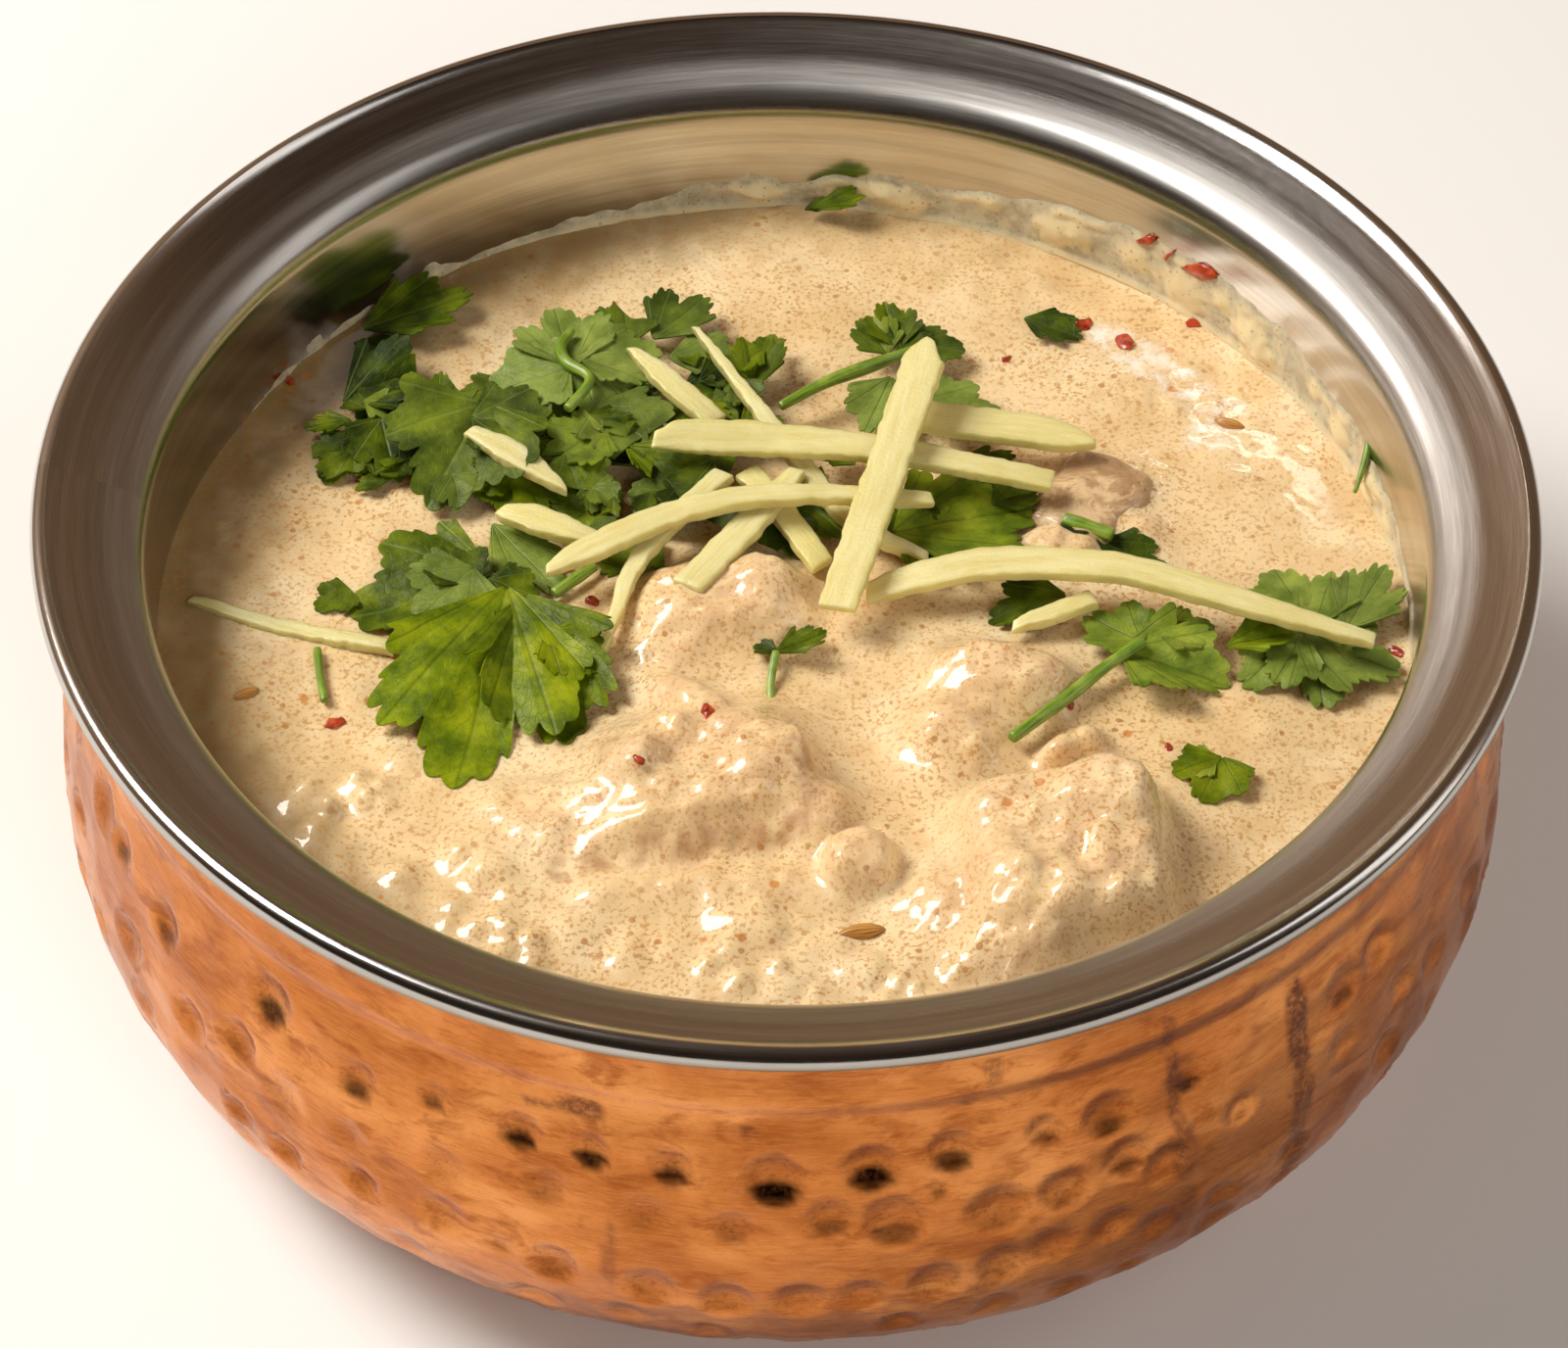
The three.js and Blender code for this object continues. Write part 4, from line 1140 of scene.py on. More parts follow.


# ------------------------------------------------------------------ the coriander
# Each leaf: foot x, y and height above the gravy, tip x, y and height, half angle of its fan in
# degrees, tone (0 dark, with painted shade for leaves deep in the heaps, to 1 yellow-green), paleness
# of an upturned underside, fold and curl.
LEAVES = {
    "coriander_leaf_back_left": [
        (-49.3, 43.8, 1.5, -36.6, 48.5, 3.2, 34, 0.15, 0, 0.5, 0.1),
        (-50.2, 42.0, 0.7, -43.5, 40.7, 1.2, 22, 0.1, 0, 0.3, 0.2),
    ],
    "coriander_heap_left": [
        (-50.6, 31.0, 2.2, -38.2, 36.0, 4.2, 42, 0.12, 0, 0.9, 0.5),
        (-49, 28.5, 1.5, -40.5, 31.5, 3.0, 50, 0.2, 0, 0.3, 0.6),
        (-45.8, 26.4, 3.6, -43.6, 18.6, 1.2, 70, 0.2, 0, 0.4, 0.5),
        (-48.3, 25.5, 2.0, -52, 18.6, 0.6, 50, 0.3, 0, 0.2, 0.3),
        (-46.5, 23.8, 1.6, -46.7, 18.0, 0.6, 55, 0.25, 0, 0.2, 0.3),
        (-39.4, 27.6, 2.5, -36.4, 34.2, 5.0, 40, 0.35, 0, 0.4, 0.2),
        (-34.2, 27.8, 5.2, -40.2, 13.2, 2.8, 62, 0.22, 0.12, 0.55, 0.7),
        (-35.5, 25.4, 5.0, -25.8, 23.8, 5.0, 62, 0.2, 0.12, 0.3, 0.3),
        (-40, 23, 1.6, -47, 31, 1.6, 60, 0.1, 0, 0.2, 0.3),
        (-41, 20, 1.4, -36, 27, 1.8, 60, 0.1, 0, 0.2, 0.3),
        (-30.6, 22.2, 3.4, -27.2, 13.6, 1.8, 62, 0.75, 0, 0.2, 0.3),
        (-33, 19.5, 2.4, -31, 13.4, 1.6, 50, 0.7, 0, 0.2, 0.3),
    ],
    "coriander_heap_middle": [
        (-24.7, 33.3, 5.4, -34.6, 31.4, 3.4, 64, 0.5, 0.85, 0.2, 0.5),
        (-24.7, 33.4, 5.4, -27.3, 46.6, 3.4, 40, 0.5, 0.8, 0.3, 0.3),
        (-24.0, 35.5, 5.2, -13.8, 37.4, 4.4, 52, 0.5, 0.7, 0.3, 0.6),
        (-23.9, 35.4, 5.2, -15.6, 27.0, 3.8, 44, 0.45, 0.6, 0.3, 0.8),
        (-18.5, 39.8, 3.2, -19.4, 48.2, 3.2, 40, 0.3, 0.1, 0.5, 0.3),
        (-15.7, 41.1, 3.2, -9.6, 48.6, 3.2, 40, 0.3, 0.2, 0.6, 0.2),
        (-13.9, 37.8, 3.2, -4.6, 38.8, 3.2, 38, 0.3, 0.5, 0.3, 0.3),
        (-12, 34, 2.6, -3.4, 34.2, 3.2, 45, 0.15, 0, 0.4, 0.4),
        (-24.8, 20.4, 4.4, -21.7, 11.6, 1.4, 48, 0.25, 0.1, 0.4, 0.4),
        (-8.2, 19.2, 5.0, -16.6, 15.6, 4.0, 60, 0.2, 0, 0.3, 0.5),
        (-4.4, 33.0, 3.2, -2.6, 41.4, 4.4, 34, 0.15, 0, 0.8, 0.2),
        (-6.4, 34.8, 2.8, -7.6, 41.0, 3.6, 38, 0.2, 0, 0.5, 0.3),
        (-11.1, 16.0, 3.2, -17.6, 11.4, 1.6, 60, 0.3, 0.1, 0.3, 0.4),
        (-7.9, 16.6, 4.0, -12.6, 7.6, 1.4, 52, 0.2, 0, 0.4, 0.4),
        (-2.4, 13.6, 3.0, 2.0, 6.6, 1.6, 46, 0.1, 0, 0.7, 0.3),
        (-0.2, 16.6, 3.0, 7.0, 10.4, 2.2, 58, 0.3, 0, 0.3, 0.3),
        (-28.6, 30.2, 3.0, -22.0, 21.6, 2.6, 60, 0.3, 0.25, 0.3, 0.3),
        (-21.6, 28.4, 4.4, -13.4, 20.8, 4.0, 54, 0.4, 0.3, 0.3, 0.4),
        (-20.5, 24.0, 4.6, -27.4, 19.8, 3.6, 60, 0.35, 0.2, 0.3, 0.4),
        (-14.0, 27.6, 3.6, -6.4, 22.4, 3.6, 56, 0.2, 0, 0.4, 0.5),
        (-12.5, 30.4, 3.4, -3.0, 28.0, 3.0, 50, 0.12, 0, 0.3, 0.4),
        (-18.2, 22.2, 4.4, -11.2, 17.0, 3.6, 30, 0.6, 0, 0.9, 0.2),
        (-24.4, 26.2, 4.4, -16.2, 24.6, 4.6, 20, 0.3, 0, 1.0, 0.2),
        (-30.4, 34.0, 2.2, -35.2, 25.6, 2.6, 55, 0.3, 0.2, 0.3, 0.4),
        (-20, 16, 2.0, -26, 10.5, 0.8, 48, 0.55, 0, 0.3, 0.3),
        (-13.5, 9.6, 2.2, -20.6, 4.6, 0.9, 42, 0.3, 0, 0.4, 0.4),
        (-9.4, 23.4, 3.4, -2.0, 19.4, 3.2, 56, 0.15, 0, 0.3, 0.4),
        (-32.6, 11.6, 1.8, -24.2, 1.4, 1.2, 30, 0.55, 0.55, 0.2, 0.4),
    ],
    "coriander_leaf_front_dark": [
        (-31.8, 2.6, 3.0, -47.4, -2.4, 1.0, 56, 0.2, 0, 0.4, 0.5),
        (-34.6, 0.6, 3.0, -37.4, 6.6, 3.2, 56, 0.15, 0, 0.4, 0.4),
        (-32.1, 1.6, 3.0, -26.6, -0.6, 2.4, 56, 0.15, 0, 0.3, 0.4),
    ],
    "coriander_leaf_front_bright": [
        (-30.2, -0.6, 4.8, -34.2, -27.4, 1.3, 38, 0.92, 0, 0.35, 0.7),
        (-34.0, 2.6, 3.8, -40.4, -4.4, 2.2, 58, 0.55, 0.5, 0.3, 0.5),
        (-28.2, -1.0, 4.6, -23.4, -22.2, 1.8, 34, 0.55, 0, 0.8, 0.6),
        (-25.6, -7.4, 4.0, -19.6, -12.4, 3.4, 50, 0.7, 0, 0.4, 0.4),
    ],
    "coriander_leaf_back_sprig": [
        (11.2, 39.3, 3.0, 8.0, 44.6, 4.2, 50, 0.35, 0.2, 0.6, 0.3),
        (14.0, 41.0, 3.0, 20.2, 40.6, 2.4, 70, 0.12, 0.15, 0.2, 0.3),
        (12.4, 40.2, 3.2, 10.7, 47.2, 4.2, 46, 0.2, 0, 0.7, 0.2),
        (12.8, 39.4, 3.0, 14.6, 44.6, 3.6, 50, 0.15, 0, 0.5, 0.2),
    ],
    "coriander_leaf_under_strips": [
        (14.0, 30.6, 3.4, 24.6, 30.0, 2.6, 44, 0.45, 0.7, 0.2, 0.5),
        (11.6, 35.0, 3.5, 8.4, 26.2, 2.8, 40, 0.5, 0.75, 0.3, 0.4),
        (7.6, 21.6, 2.4, 3.2, 24.6, 2.6, 40, 0.15, 0, 0.4, 0.3),
        (18, 21.6, 2.4, 27.2, 20.2, 2.2, 34, 0.2, 0, 0.3, 0.3),
    ],
    "coriander_leaf_middle": [
        (11.6, 10.6, 2.6, 28.8, 16.2, 2.6, 44, 0.85, 0.15, 0.25, 0.4),
        (12.4, 11.6, 2.4, 22.2, 7.0, 1.4, 46, 0.8, 0.15, 0.3, 0.4),
        (11.2, 16.6, 2.6, 14.6, 9.0, 2.0, 50, 0.2, 0, 0.4, 0.4),
        (22.6, 15.6, 2.4, 28.8, 18.4, 3.0, 40, 0.4, 0, 0.5, 0.2),
    ],
    "coriander_leaf_folded_right": [
        (36.0, -6.0, 2.0, 48.4, -10.6, 2.0, 44, 0.85, 0.35, 0.9, 0.5),
        (38.6, -5.6, 2.4, 32.4, -0.6, 1.8, 56, 0.75, 0.35, 0.4, 0.4),
        (40.6, -4.6, 2.4, 46.6, -3.0, 2.6, 56, 0.8, 0.35, 0.4, 0.4),
        (30.6, 1.9, 2.2, 21.8, -0.8, 1.0, 44, 0.12, 0, 0.4, 0.4),
        (47.6, -6.1, 2.8, 55.6, -4.4, 3.8, 30, 0.5, 0, 1.0, 0.4),
        (34.0, 10.6, 1.6, 42.2, 7.6, 0.8, 30, 0.1, 0, 0.5, 0.3),
        (30.2, 11.8, 1.6, 35.4, 14.6, 1.4, 40, 0.1, 0, 0.4, 0.3),
    ],
    "coriander_leaf_right": [
        (57.3, -3.6, 3.0, 53.4, 7.8, 1.8, 52, 0.85, 0.6, 0.2, 0.3),
        (60.6, -3.6, 2.8, 66.0, 6.6, 3.2, 32, 0.7, 0.6, 0.4, 0.2),
        (55.1, -4.4, 2.6, 66.4, -8.4, 1.6, 50, 0.85, 0.6, 0.2, 0.3),
        (56.2, -4.0, 2.8, 48.6, -10.8, 1.0, 50, 0.85, 0.6, 0.3, 0.4),
        (56.6, -3.2, 2.8, 58.0, -13.6, 1.0, 52, 0.88, 0.6, 0.2, 0.3),
        (56, -3, 2.4, 64.0, 1.6, 2.0, 52, 0.8, 0.6, 0.2, 0.2),
    ],
    "coriander_leaf_small_right": [
        (46.6, -21.4, 1.4, 43.6, -28.2, 0.9, 62, 0.55, 0, 0.3, 0.4),
        (46.0, -21.8, 1.4, 41.4, -22.8, 0.9, 50, 0.75, 0.35, 0.3, 0.4),
    ],
    "coriander_leaf_small_middle": [
        (-1.2, -8.4, 2.6, 5.0, -5.6, 3.4, 24, 0.15, 0, 0.8, 0.2),
        (-0.8, -8.2, 2.6, -3.6, -7.0, 2.2, 36, 0.2, 0, 0.6, 0.2),
    ],
    "": [
        (-47.4, 1.6, 0.9, -51.2, -1.2, 0.7, 60, 0.2, 0, 0.2, 0.3),
        (27.0, 48.3, 0.9, 34.0, 45.2, 0.8, 32, 0.2, 0, 0.4, 0.3),
        (21.4, -25.6, 0.8, 23.4, -26.4, 0.9, 40, 0.4, 0, 0.3, 0.2),
        (2.2, 65.0, 2.6, 9.0, 65.6, 4.6, 24, 0.5, 0, 0.4, 0.2),
        (1.4, 65.4, 2.0, 4.6, 65.8, 3.0, 30, 0.3, 0, 0.4, 0.2),
    ],
}


# The lobes of a leaf 1 long: direction in radians, distance of its middle, size, count of teeth.
LOBES = [
    (0, 0.69, 0.29, 9),
    (0.66, 0.58, 0.23, 8),
    (-0.68, 0.60, 0.22, 8),
    (1.24, 0.42, 0.17, 6),
    (-1.22, 0.43, 0.16, 6),
]
FAN_TURN = math.radians(84)     # half angle of a leaf that is spread out fully
FULL_FAN = 62                   # half angle in degrees that a fully spread leaf has in the list


def leaf_outline(side, length, dice):
    """How far the leaf's edge lies from its foot, from one side of the fan to the other."""
    turn = side * FAN_TURN
    reach = 0.40 * length * (1 - 0.45 * side ** 2)
    for at, far, size, teeth in LOBES:
        at += dice.uniform(-0.07, 0.07)
        far = far * length * dice.uniform(0.93, 1.05)
        size = size * length * dice.uniform(0.92, 1.05)
        off = turn - at
        inside = size ** 2 - (far * np.sin(off)) ** 2
        edge = far * np.cos(off) + np.sqrt(np.clip(inside, 0, None))
        round_lobe = np.arctan2(edge * np.sin(off), edge * np.cos(off) - far)
        scallop = np.abs(np.cos(round_lobe * teeth / 2 + dice.uniform(-0.4, 0.4))) ** 0.7
        deeper = 1 + 0.5 * np.sin(round_lobe * 2 + dice.uniform(0, 6))
        edge = edge - size * 0.30 * deeper * (1 - scallop)
        reach = np.where((inside > 0) & (np.cos(off) > 0), np.maximum(reach, edge), reach)
    return reach


def leaf(name, spec, seed, chopped):
    """A fan of toothed lobes, laid from its foot to its tip, folded along its middle and curled."""
    fx, fy, fh, tx, ty, th, half_angle, tone, pale, fold, curl = spec
    length = math.hypot(tx - fx, ty - fy)
    let_go()
    rows, columns = (9, 124) if length > 9 else (6, 72)
    bpy.ops.mesh.primitive_grid_add(x_subdivisions=rows, y_subdivisions=columns, size=2)
    piece = fresh(name)
    grid = points_of(piece) * MM
    share, side = (grid[:, 0] + 1) / 2, grid[:, 1]
    dice = np.random.default_rng(seed)
    turn = side * FAN_TURN
    reach = leaf_outline(side, length, dice)
    if chopped and dice.random() < 0.6:
        way = dice.uniform(-1.3, 1.3)
        straight = length * dice.uniform(0.42, 0.75) / np.clip(np.cos(turn - way), 0.05, 1)
        reach = np.minimum(reach, straight)
    angle = turn * min(1.0, half_angle / FULL_FAN)
    far = reach * (0.03 + 0.97 * share)
    x, y = far * np.cos(angle), far * np.sin(angle)
    lift = fold * 0.55 * (np.abs(y) - 0.12 * length)
    lift -= curl * 0.055 * length * (x / length) ** 2 * 2
    lift -= curl * 0.06 * y ** 2 / max(length, 6) * 2
    lift += 0.030 * length * share ** 2 * np.sin(side * 8 + seed * 1.7) * (0.4 + fold)
    lift += 0.10 * wobble(x + seed * 5, y, 4, seed)
    heading = math.atan2(ty - fy, tx - fx)
    c = math.cos(heading)
    s = math.sin(heading)
    height = GRAVY_Z + fh + (th - fh) * x / length + lift
    wx = fx + x * c - y * s
    wy = fy + x * s + y * c
    pull = np.minimum(1, (MOUTH_R - 0.5) / np.hypot(wx, wy))
    wx = wx * pull
    wy = wy * pull
    height = np.maximum(height, gravy_top(wx, wy) + 0.3)
    move_points(piece, side_by_side(wx, wy, height))
    write_uv(piece, share, (side + 1) / 2)
    own = dice.uniform(-0.18, 0.26)
    # Low tones are partly painted shade for leaves deep in the heaps.
    write_value(piece, "tone", np.clip(tone + own + 0.14 * wobble(wx, wy, 5, seed + 3), 0, 1))
    write_value(piece, "pale", np.full(len(x), pale))
    work_with(piece, "SOLIDIFY", thickness=LEAF_THICK * MM)
    return piece


# Small chopped bits strewn over the heaps: x, y, reach, how many, height.
STREWN = {
    "coriander_heap_left": [
        (-44.5, 28.5, 5.5, 6, 2.6), (-38, 22, 4.5, 4, 3.0), (-47, 21, 4, 4, 1.4),
    ],
    "coriander_heap_middle": [
        (-14, 33, 7, 7, 3.8), (-9, 26, 6, 7, 3.6), (-17.5, 17, 5.5, 6, 3.2), (-14, 24, 5, 5, 3.8),
        (-4.5, 36, 3.5, 3, 3.6), (-27, 24, 4.5, 3, 3.0),
    ],
}


def chopped_bits(node):
    """Leaves in the form of the list above, for the bits strewn over one heap."""
    dice = random.Random(len(node) * 7 + SEED)
    bits = []
    for x, y, reach, count, rise in STREWN.get(node, ()):
        for _ in range(count):
            foot_x, foot_y, _ = strewn_spot(dice, x, y, reach)
            way = dice.uniform(0, FULL_TURN)
            long = dice.uniform(3.2, 6.4)
            foot_z = rise + dice.uniform(-0.6, 0.9)
            tip = (foot_x + long * math.cos(way), foot_y + long * math.sin(way),
                   max(0.6, foot_z - dice.uniform(0.0, 1.8)))
            half_angle = dice.choice((26, 40, 56))
            tone = dice.choice((0.05, 0.12, 0.3, 0.5, 0.75))
            pale = dice.choice((0, 0, 0.3))
            fold = dice.uniform(0.2, 1.0)
            curl = dice.uniform(0.2, 0.8)
            bits.append((foot_x, foot_y, foot_z, *tip, half_angle, tone, pale, fold, curl))
    return bits


def greens_name(node, bits, ending):
    """The name of the piece that stands for a coriander node, or of the loose bits."""
    return (node or bits).replace("coriander_", "") + ending


def make_leaves():
    """One piece for each leaf or heap node, and one for the loose bits."""
    finish = leaf_finish()
    seed = 0
    for node, specs in LEAVES.items():
        leaves = []
        for spec in specs + chopped_bits(node):
            seed += 1
            leaves.append(leaf(f"leaf_{seed}", spec, seed, "heap" in node))
        piece = join(leaves, greens_name(node, "leaf_bits", "_greens"))
        finish_piece(piece, finish, [node] if node else ())


# Stalks: points with x, y, height above the gravy and thickness.
STALKS = {
    "coriander_stem_back": [
        [(-1, 29.7, 3.2, 1.1), (4, 33, 3.9, 1.5), (9, 36, 3.8, 1.6), (14.5, 39.6, 3.4, 1.2)],
    ],
    "coriander_stem_right": [
        [
            (24.2, -20.6, 2.6, 1.4), (30, -14.6, 2.5, 1.5), (34.6, -9.4, 2.3, 1.4),
            (38.6, -5.8, 2.6, 1.5),
        ],
    ],
    "": [
        [
            (-24.9, 39.6, 5.2, 1.1), (-26.0, 36.4, 5.8, 1.3), (-25.2, 33.2, 6.1, 1.4),
            (-22.4, 30.4, 6.2, 1.3), (-24.8, 26.0, 5.6, 1.2),
        ],
        [(30.6, 13.0, 2.4, 1.8), (33.4, 11.8, 2.4, 1.8), (36.0, 10.7, 2.3, 1.7)],
        [(-50.4, -7.6, 0.9, 1.0), (-49.8, -11.5, 0.9, 0.9), (-49.0, -15.3, 0.8, 1.0)],
        [(-0.9, -8.4, 2.6, 0.9), (-1.4, -12, 1.5, 1.0), (-1.3, -16, 0.6, 0.7)],
        [(-25.3, 1.1, 1.2, 1.3), (-23, 3.2, 1.5, 1.4), (-20.9, 5.2, 1.6, 1.2)],
        [(63.1, 17.9, 2.6, 0.5), (64.4, 21.4, 5.0, 0.9), (64.9, 24.6, 7.4, 0.4)],
    ],
}


def stalk(name, route, seed):
    """A round stalk along a route, a little uneven in thickness."""
    length = sum(math.dist(a[:3], b[:3]) for a, b in zip(route, route[1:]))
    piece = bar(name, max(10, int(length / 0.8)), 3, 3)
    spots = points_of(piece) * MM
    middle, way, _ = along_route(route, (spots[:, 0] + 1) / 2)
    side, up = frame_along(way)
    y, z = spots[:, 1], spots[:, 2]
    round_y = y * np.sqrt(1 - z * z / 2)
    round_z = z * np.sqrt(1 - y * y / 2)
    half = middle[:, 3] / 2 * (1 + 0.06 * np.sin(spots[:, 0] * 5 + seed))
    place = middle[:, :3] + side * (half * round_y)[:, None] + up * (half * round_z)[:, None]
    place[:, 2] += GRAVY_Z
    move_points(piece, place)
    write_uv(piece, spots[:, 0] * length, np.arctan2(round_z, round_y))
    round_off(piece)
    return piece


def make_stalks():
    """One piece for each stem node, and one for the loose stalks."""
    finish = stem_finish()
    seed = 50
    for node, routes in STALKS.items():
        stalks = []
        for route in routes:
            seed += 1
            stalks.append(stalk(f"stalk_{seed}", route, seed))
        piece = join(stalks, greens_name(node, "stalk_bits", "_stalks"))
        finish_piece(piece, finish, [node] if node else ())


# ------------------------------------------------------------------ sauce left on the wall
# How high the film reaches above the gravy, by angle round the bowl (90 is the back).
FILM = [
    (-14, -0.6), (-6, 1.2), (4, 3.0), (14, 4.6), (24, 5.4), (34, 7.0), (44, 8.4), (56, 8.2),
    (64, 6.6), (74, 5.4), (80, 4.6), (88, 3.8), (96, 3.8), (104, 2.4), (118, 1.5), (134, 1.5),
    (150, 0.6), (164, -0.6),
]
# Lumps stuck in it: angle, height above the gravy, reach, thickness.
WALL_LUMPS = [
    (93.4, 2.6, 1.5, 1.0), (81, 3.2, 1.6, 1.1), (78.6, 2.2, 1.6, 0.9), (63, 3.6, 1.9, 0.9),
    (60.5, 4.4, 1.3, 0.8), (70, 4.4, 0.9, 0.5), (48, 3.4, 2.6, 0.7), (39, 3.6, 1.9, 1.3),
    (37, 2.2, 1.5, 1.0), (24, 2.6, 1.6, 0.9), (17, 2.4, 1.8, 0.9), (54, 4.6, 1.8, 0.6),
    (29, 4.0, 1.0, 0.5), (12, 1.6, 1.2, 0.7), (86, 2.2, 1.0, 0.6), (43, 5.4, 1.2, 0.6),
    (128, 1.4, 1.1, 0.4), (143, 1.0, 1.0, 0.4),
]


def film_finish():
    """Sauce smeared thinly on the steel, greyer and clearer where it is thin."""
    f = Finish("sauce_film")
    thin = f.value("thin")
    patch = f.noise(3, detail=4, rough=0.65)
    tone = f.mix(thin, (0.84, 0.66, 0.38), (0.72, 0.62, 0.43))
    dust = specks(f, 0.55, 0.5, 0.4)
    tone = f.tint(tone, (0.34, 0.17, 0.05), dust, 0.5)
    f.fix(Base_Color=tone, Roughness=0.32, Coat_Weight=0.4, Coat_Roughness=0.1, Subsurface_Weight=0.2)
    f.fix(Subsurface_Scale=0.001)
    clear = f.times(thin, f.ramp(patch, (0.40, 0.08), (0.64, 0.5)))
    f.fix(Alpha=f.minus(1.0, clear), Normal=f.bump(patch, 0.08))
    return f.material


def make_film():
    """A sheet round the back of the wall; where there is no sauce it lies inside the steel."""
    let_go()
    bpy.ops.mesh.primitive_grid_add(x_subdivisions=420, y_subdivisions=30, size=2)
    piece = fresh("sauce_film")
    grid = points_of(piece) * MM
    degrees = 75 + grid[:, 0] * 89
    rise = (grid[:, 1] + 1) / 2 * 11.5 - 1.2
    top = np.interp(degrees, [a for a, _ in FILM], [h for _, h in FILM])
    run = np.radians(degrees) * MOUTH_R
    top = top + 0.7 * wobble(run, 0 * run, 9, 21, 2) * (top > 0.5)
    ridge = np.clip(0.5 + 0.8 * wobble(run, 0 * run, 11, 24), 0, 1)
    ridge = ridge * np.where(degrees > 104, 0.25, 1)
    thick = 0.22 * smooth_step(-0.2, 0.6, top - rise) * np.where(degrees > 112, 0.7, 1)
    thick = thick + 0.34 * ridge * np.exp(-((top - rise - 0.8) / 0.6) ** 2)
    thick += 0.06 * wobble(run, rise, 3.5, 22, 2) * smooth_step(0.1, 0.25, thick)
    thick += 0.5 * np.exp(-((rise - 0.2) / 0.5) ** 2) * smooth_step(0.6, 2.4, top)
    uneven = wobble(run, rise, 1.8, 23)
    for at, up, reach, deep in WALL_LUMPS:
        near = ((degrees - at) / 57.3 * MOUTH_R * 0.8) ** 2 + (rise - up) ** 2
        near *= 1 + 0.3 * uneven
        thick = thick + 0.95 * deep * np.exp(-near / reach ** 2)
    radius = MOUTH_R + 0.14 - np.clip(thick, 0, 1.6)
    angle = np.radians(degrees)
    move_points(piece, side_by_side(radius * np.cos(angle), radius * np.sin(angle), GRAVY_Z + rise))
    write_value(piece, "thin", 1 - smooth_step(0.2, 0.62, thick))
    bpy.ops.object.mode_set(mode="EDIT")
    bpy.ops.mesh.select_all(action="SELECT")
    bpy.ops.mesh.normals_make_consistent(inside=False)
    bpy.ops.object.mode_set(mode="OBJECT")
    work_with(piece, "SOLIDIFY", thickness=0.25 * MM, offset=0)
    finish_piece(piece, film_finish())


# ------------------------------------------------------------------ spice
# Flakes of chilli: x, y and length.
CHILLI = [
    (38.5, 45, 3.2), (34, 48, 2.6), (25, 42, 1.6), (-15, -29.4, 1.6), (-21, 0.6, 1.9),
    (66.4, -4.6, 2.0), (-8, -20.6, 2.2), (30.6, -14.6, 1.2), (-47.8, -17.6, 2.6), (41, -19.4, 1.2),
    (-57, 36, 1.8), (47.0, 48.5, 2.4),
]
# Red skins on the wall: angle, height above the gravy, length, width.
WALL_SKINS = [(46.5, 7.4, 5.6, 1.9), (53.0, 7.6, 2.8, 1.3), (50.2, 7.2, 1.2, 0.8)]
# Cumin seeds: x, y, length and turn in degrees.
SEEDS = [(8.4, -46.6, 5.0, 12), (50, 31, 3.6, -20), (-57.5, -14, 3, 30)]


def flake(x, y, size, dice):
    """A thin crumpled flake of chilli on the gravy."""
    let_go()
    turn = (dice.uniform(-0.3, 0.3), dice.uniform(-0.3, 0.3), dice.uniform(0, 3))
    bpy.ops.mesh.primitive_ico_sphere_add(
        subdivisions=2, radius=1, location=(x * MM, y * MM, ground_at(x, y) * MM + 0.1 * MM),
        rotation=turn, scale=(size / 2 * MM, size * 0.32 * MM, 0.35 * MM))
    piece = fresh("flake")
    spots = points_of(piece)
    x, y = spots[:, 0], spots[:, 1]
    spots = spots + 0.18 * side_by_side(*(wobble(x, y, 1.2, seed) for seed in (1, 2, 3)))
    move_points(piece, spots)
    return piece


def wall_skin(degrees, rise, long, wide):
    """A red skin of chilli that sticks to the wall."""
    let_go()
    bpy.ops.mesh.primitive_ico_sphere_add(subdivisions=3, radius=1)
    piece = fresh("skin")
    ball = points_of(piece) * MM
    x, y, z = ball[:, 0], ball[:, 1], ball[:, 2]
    run = math.radians(degrees) + x * long / 2 / MOUTH_R
    far = MOUTH_R - 0.25 + 0.5 * z + 0.10 * wobble(x * long, y * wide, 1.6, int(degrees))
    up = GRAVY_Z + rise + y * wide / 2 * (1 + 0.3 * np.sin(x * 4 + degrees)) - 0.8 * x
    move_points(piece, side_by_side(far * np.cos(run), far * np.sin(run), up))
    return piece


def seed_on_gravy(x, y, size, turn):
    """A ribbed cumin seed that lies on the gravy."""
    let_go()
    bpy.ops.mesh.primitive_uv_sphere_add(segments=32, ring_count=16, radius=1)
    piece = fresh("seed")
    ball = points_of(piece) * MM
    around = np.arctan2(ball[:, 1], ball[:, 2])
    ribbed = 1 + 0.09 * np.cos(around * 7)
    thin = (1 - 0.25 * ball[:, 0] ** 2) * ribbed
    long = ball[:, 0] * size / 2
    wide = ball[:, 1] * size * 0.17 * thin
    tall = ball[:, 2] * size * 0.15 * thin
    c = math.cos(math.radians(turn))
    s = math.sin(math.radians(turn))
    top = ground_at(x, y) + 0.25 + tall
    move_points(piece, side_by_side(x + long * c - wide * s, y + long * s + wide * c, top))
    write_uv(piece, long, around)
    return piece


def make_spice():
    """Chilli on the gravy and the wall, and cumin seeds."""
    dice = random.Random(SEED + 3)
    flakes = [flake(x, y, size, dice) for x, y, size in CHILLI]
    flakes += [wall_skin(*skin) for skin in WALL_SKINS]
    finish_piece(join(flakes, "chilli_flakes"), chilli_finish())
    seeds = [seed_on_gravy(*seed) for seed in SEEDS]
    finish_piece(join(seeds, "cumin_seeds"), seed_finish())


# ------------------------------------------------------------------ floor, light and camera
FLOOR_SIZE = 12


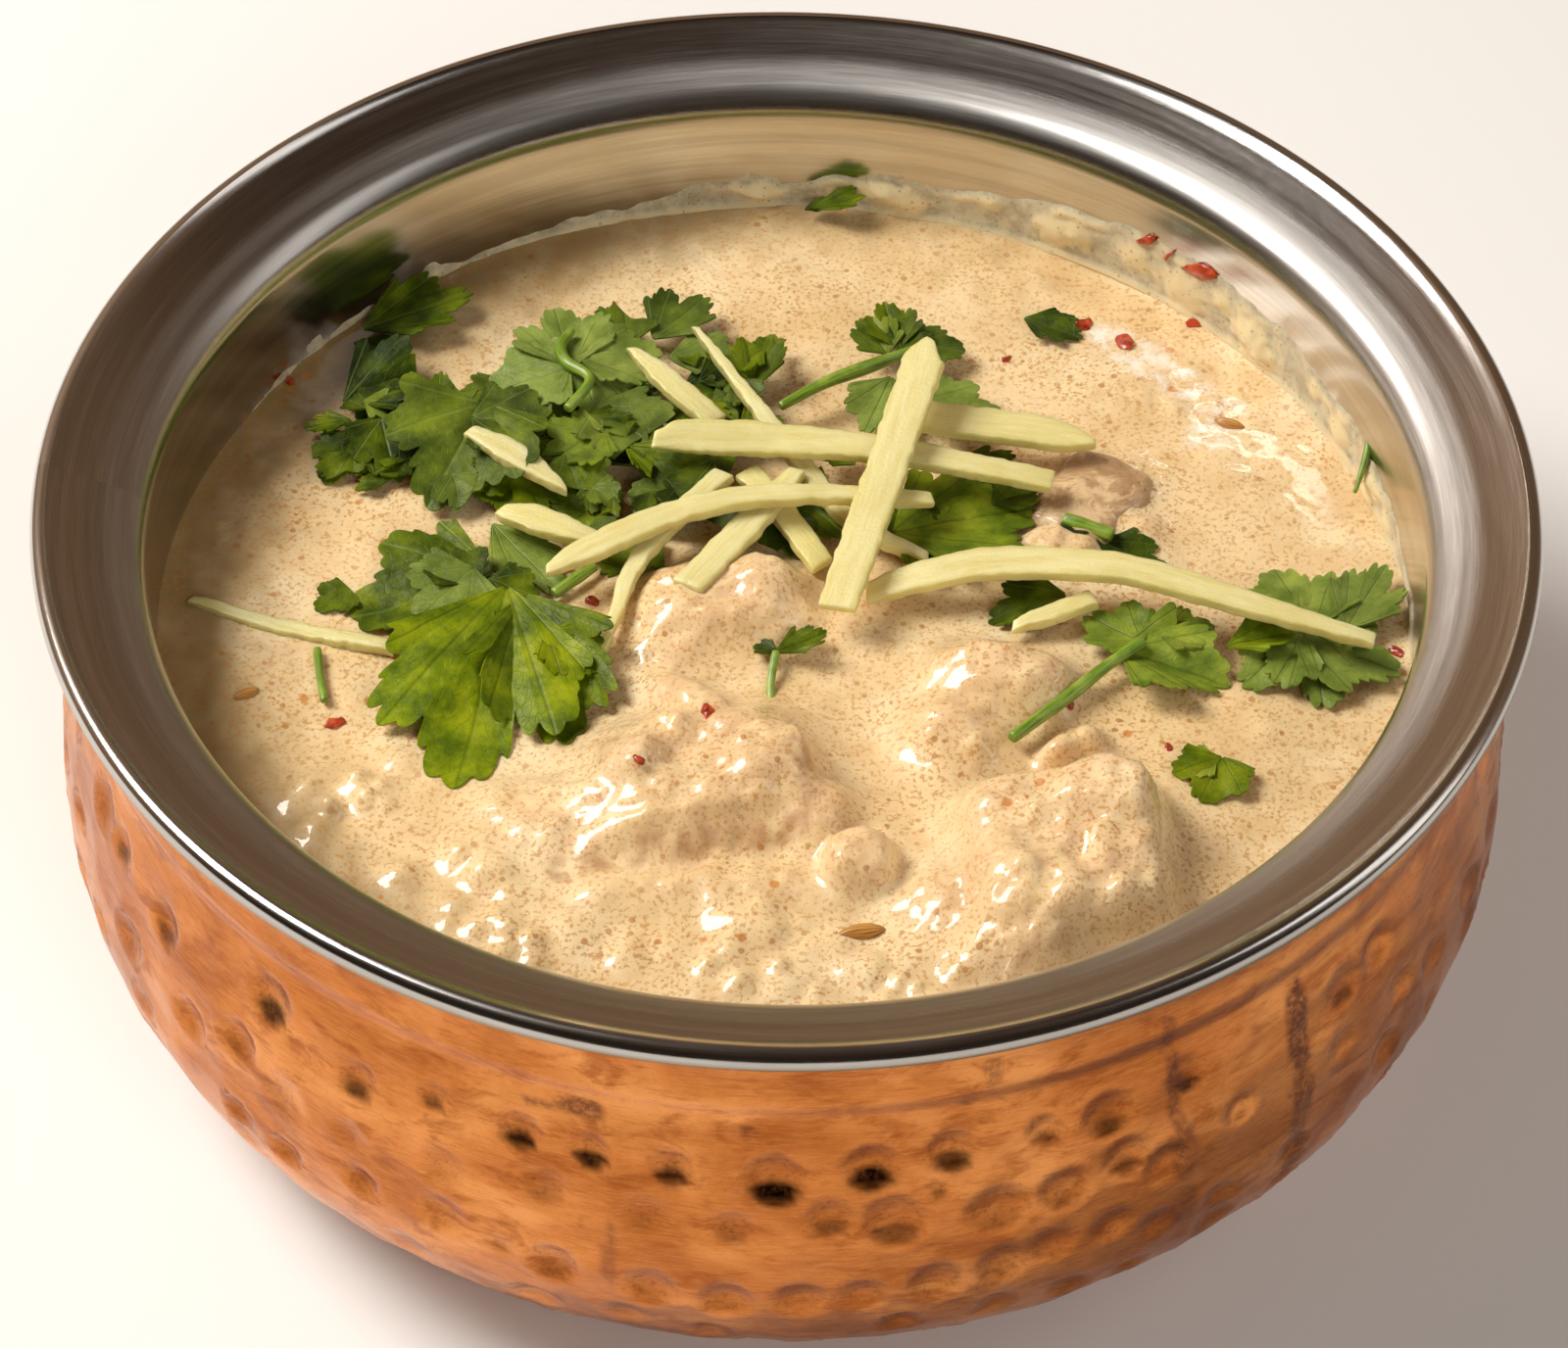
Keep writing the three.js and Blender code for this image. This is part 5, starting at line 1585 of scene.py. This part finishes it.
def make_room():
    """A pale floor, and a dim warm room that the metal reflects."""
    let_go()
    bpy.ops.mesh.primitive_plane_add(size=FLOOR_SIZE)
    floor = fresh("floor")
    f = Finish("pale_floor")
    f.fix(Base_Color=(0.90, 0.89, 0.87), Roughness=0.7)
    floor.data.materials.append(f.material)
    world = bpy.data.worlds.new("studio")
    bpy.context.scene.world = world
    world.use_nodes = True
    tree = world.node_tree
    tree.nodes.clear()
    output = tree.nodes.new("ShaderNodeOutputWorld")
    background = tree.nodes.new("ShaderNodeBackground")
    way = tree.nodes.new("ShaderNodeSeparateXYZ")
    coordinates = tree.nodes.new("ShaderNodeTexCoord")
    tree.links.new(coordinates.outputs["Generated"], way.inputs[0])

    def blend(value, low, high, first, second):
        """The first colour below `low`, the second above `high`."""
        share = tree.nodes.new("ShaderNodeMapRange")
        share.interpolation_type = "SMOOTHSTEP"
        share.inputs["From Min"].default_value = low
        share.inputs["From Max"].default_value = high
        tree.links.new(value, share.inputs["Value"])
        mixed = tree.nodes.new("ShaderNodeMix")
        mixed.data_type = "RGBA"
        tree.links.new(share.outputs[0], mixed.inputs["Factor"])
        for socket, colour in ((mixed.inputs[6], first), (mixed.inputs[7], second)):
            if isinstance(colour, tuple):
                socket.default_value = (*colour, 1)
            else:
                tree.links.new(colour, socket)
        return mixed.outputs[2]

    sides = blend(way.outputs["X"], -0.5, 0.5, (0.36, 0.215, 0.12), (0.17, 0.10, 0.056))
    backs = blend(way.outputs["Y"], -0.35, 0.35, (0.028, 0.018, 0.012), sides)
    sky = blend(way.outputs["Z"], 0.62, 0.90, backs, (0.05, 0.030, 0.018))
    tree.links.new(sky, background.inputs[0])
    tree.links.new(background.outputs[0], output.inputs[0])
    background.inputs["Strength"].default_value = 1.0


def lamp(name, towards, distance, size, power, colour=(1, 1, 1), height=None):
    """A soft box that looks at the bowl from a direction."""
    way = Vector(towards).normalized()
    data = bpy.data.lights.new(name, "AREA")
    data.shape = "RECTANGLE"
    data.size = size
    data.size_y = height or size
    data.energy = power
    data.color = colour
    light = bpy.data.objects.new(name, data)
    light.location = Vector((0, 0, HEIGHT * MM)) + way * distance
    light.rotation_mode = "QUATERNION"
    light.rotation_quaternion = way.to_track_quat("Z", "Y")
    bpy.context.scene.collection.objects.link(light)
    return light


def make_light():
    """A main light at the left, a panel at the right and one in front that metal doesn't mirror."""
    lamp("key", (-0.64, 0.16, 0.75), 1.0, 0.46, 12.4, (1.0, 0.97, 0.92))
    lamp("right_panel", (0.84, 0.02, 0.54), 1.0, 0.30, 1.4, (1.0, 0.98, 0.95), 0.9)
    soft = lamp("front_panel", (0.34, -0.80, 0.52), 1.1, 0.5, 3.9, (1.0, 0.98, 0.95))
    soft.visible_glossy = False


CAMERA_ELEVATION = 43.567       # above the horizon, seen from the middle of the rim
CAMERA_DISTANCE = 0.5217
CAMERA_DROP = -2.297            # how far below the rim's middle it aims, in degrees
CAMERA_ROLL = -1.043
SENSOR = 36                     # width in millimetres
LENS = 112.8105


def make_camera():
    """A camera that looks at the rim's middle from the front and above."""
    centre = Vector((0, 0, HEIGHT * MM))
    rise = math.radians(CAMERA_ELEVATION)
    spot = centre + CAMERA_DISTANCE * Vector((0, -math.cos(rise), math.sin(rise)))
    look = (centre - spot).normalized()
    right = look.cross(Vector((0, 0, 1))).normalized()
    up = right.cross(look)
    pitch = Matrix.Rotation(math.radians(CAMERA_DROP), 3, right)
    look, up = pitch @ look, pitch @ up
    roll = Matrix.Rotation(math.radians(CAMERA_ROLL), 3, look)
    right, up = roll @ right, roll @ up
    data = bpy.data.cameras.new("camera")
    data.sensor_width = SENSOR
    data.lens = LENS
    data.clip_start = 0.01
    camera = bpy.data.objects.new("camera", data)
    turn = Matrix((right, up, -look)).transposed()
    camera.matrix_world = Matrix.Translation(spot) @ turn.to_4x4()
    bpy.context.scene.collection.objects.link(camera)
    bpy.context.scene.camera = camera
    bpy.context.scene.view_settings.view_transform = "Standard"


make_camera()
make_bowl()
make_gravy()
make_chicken()
make_ginger()
make_leaves()
make_stalks()
make_film()
make_spice()
make_room()
make_light()
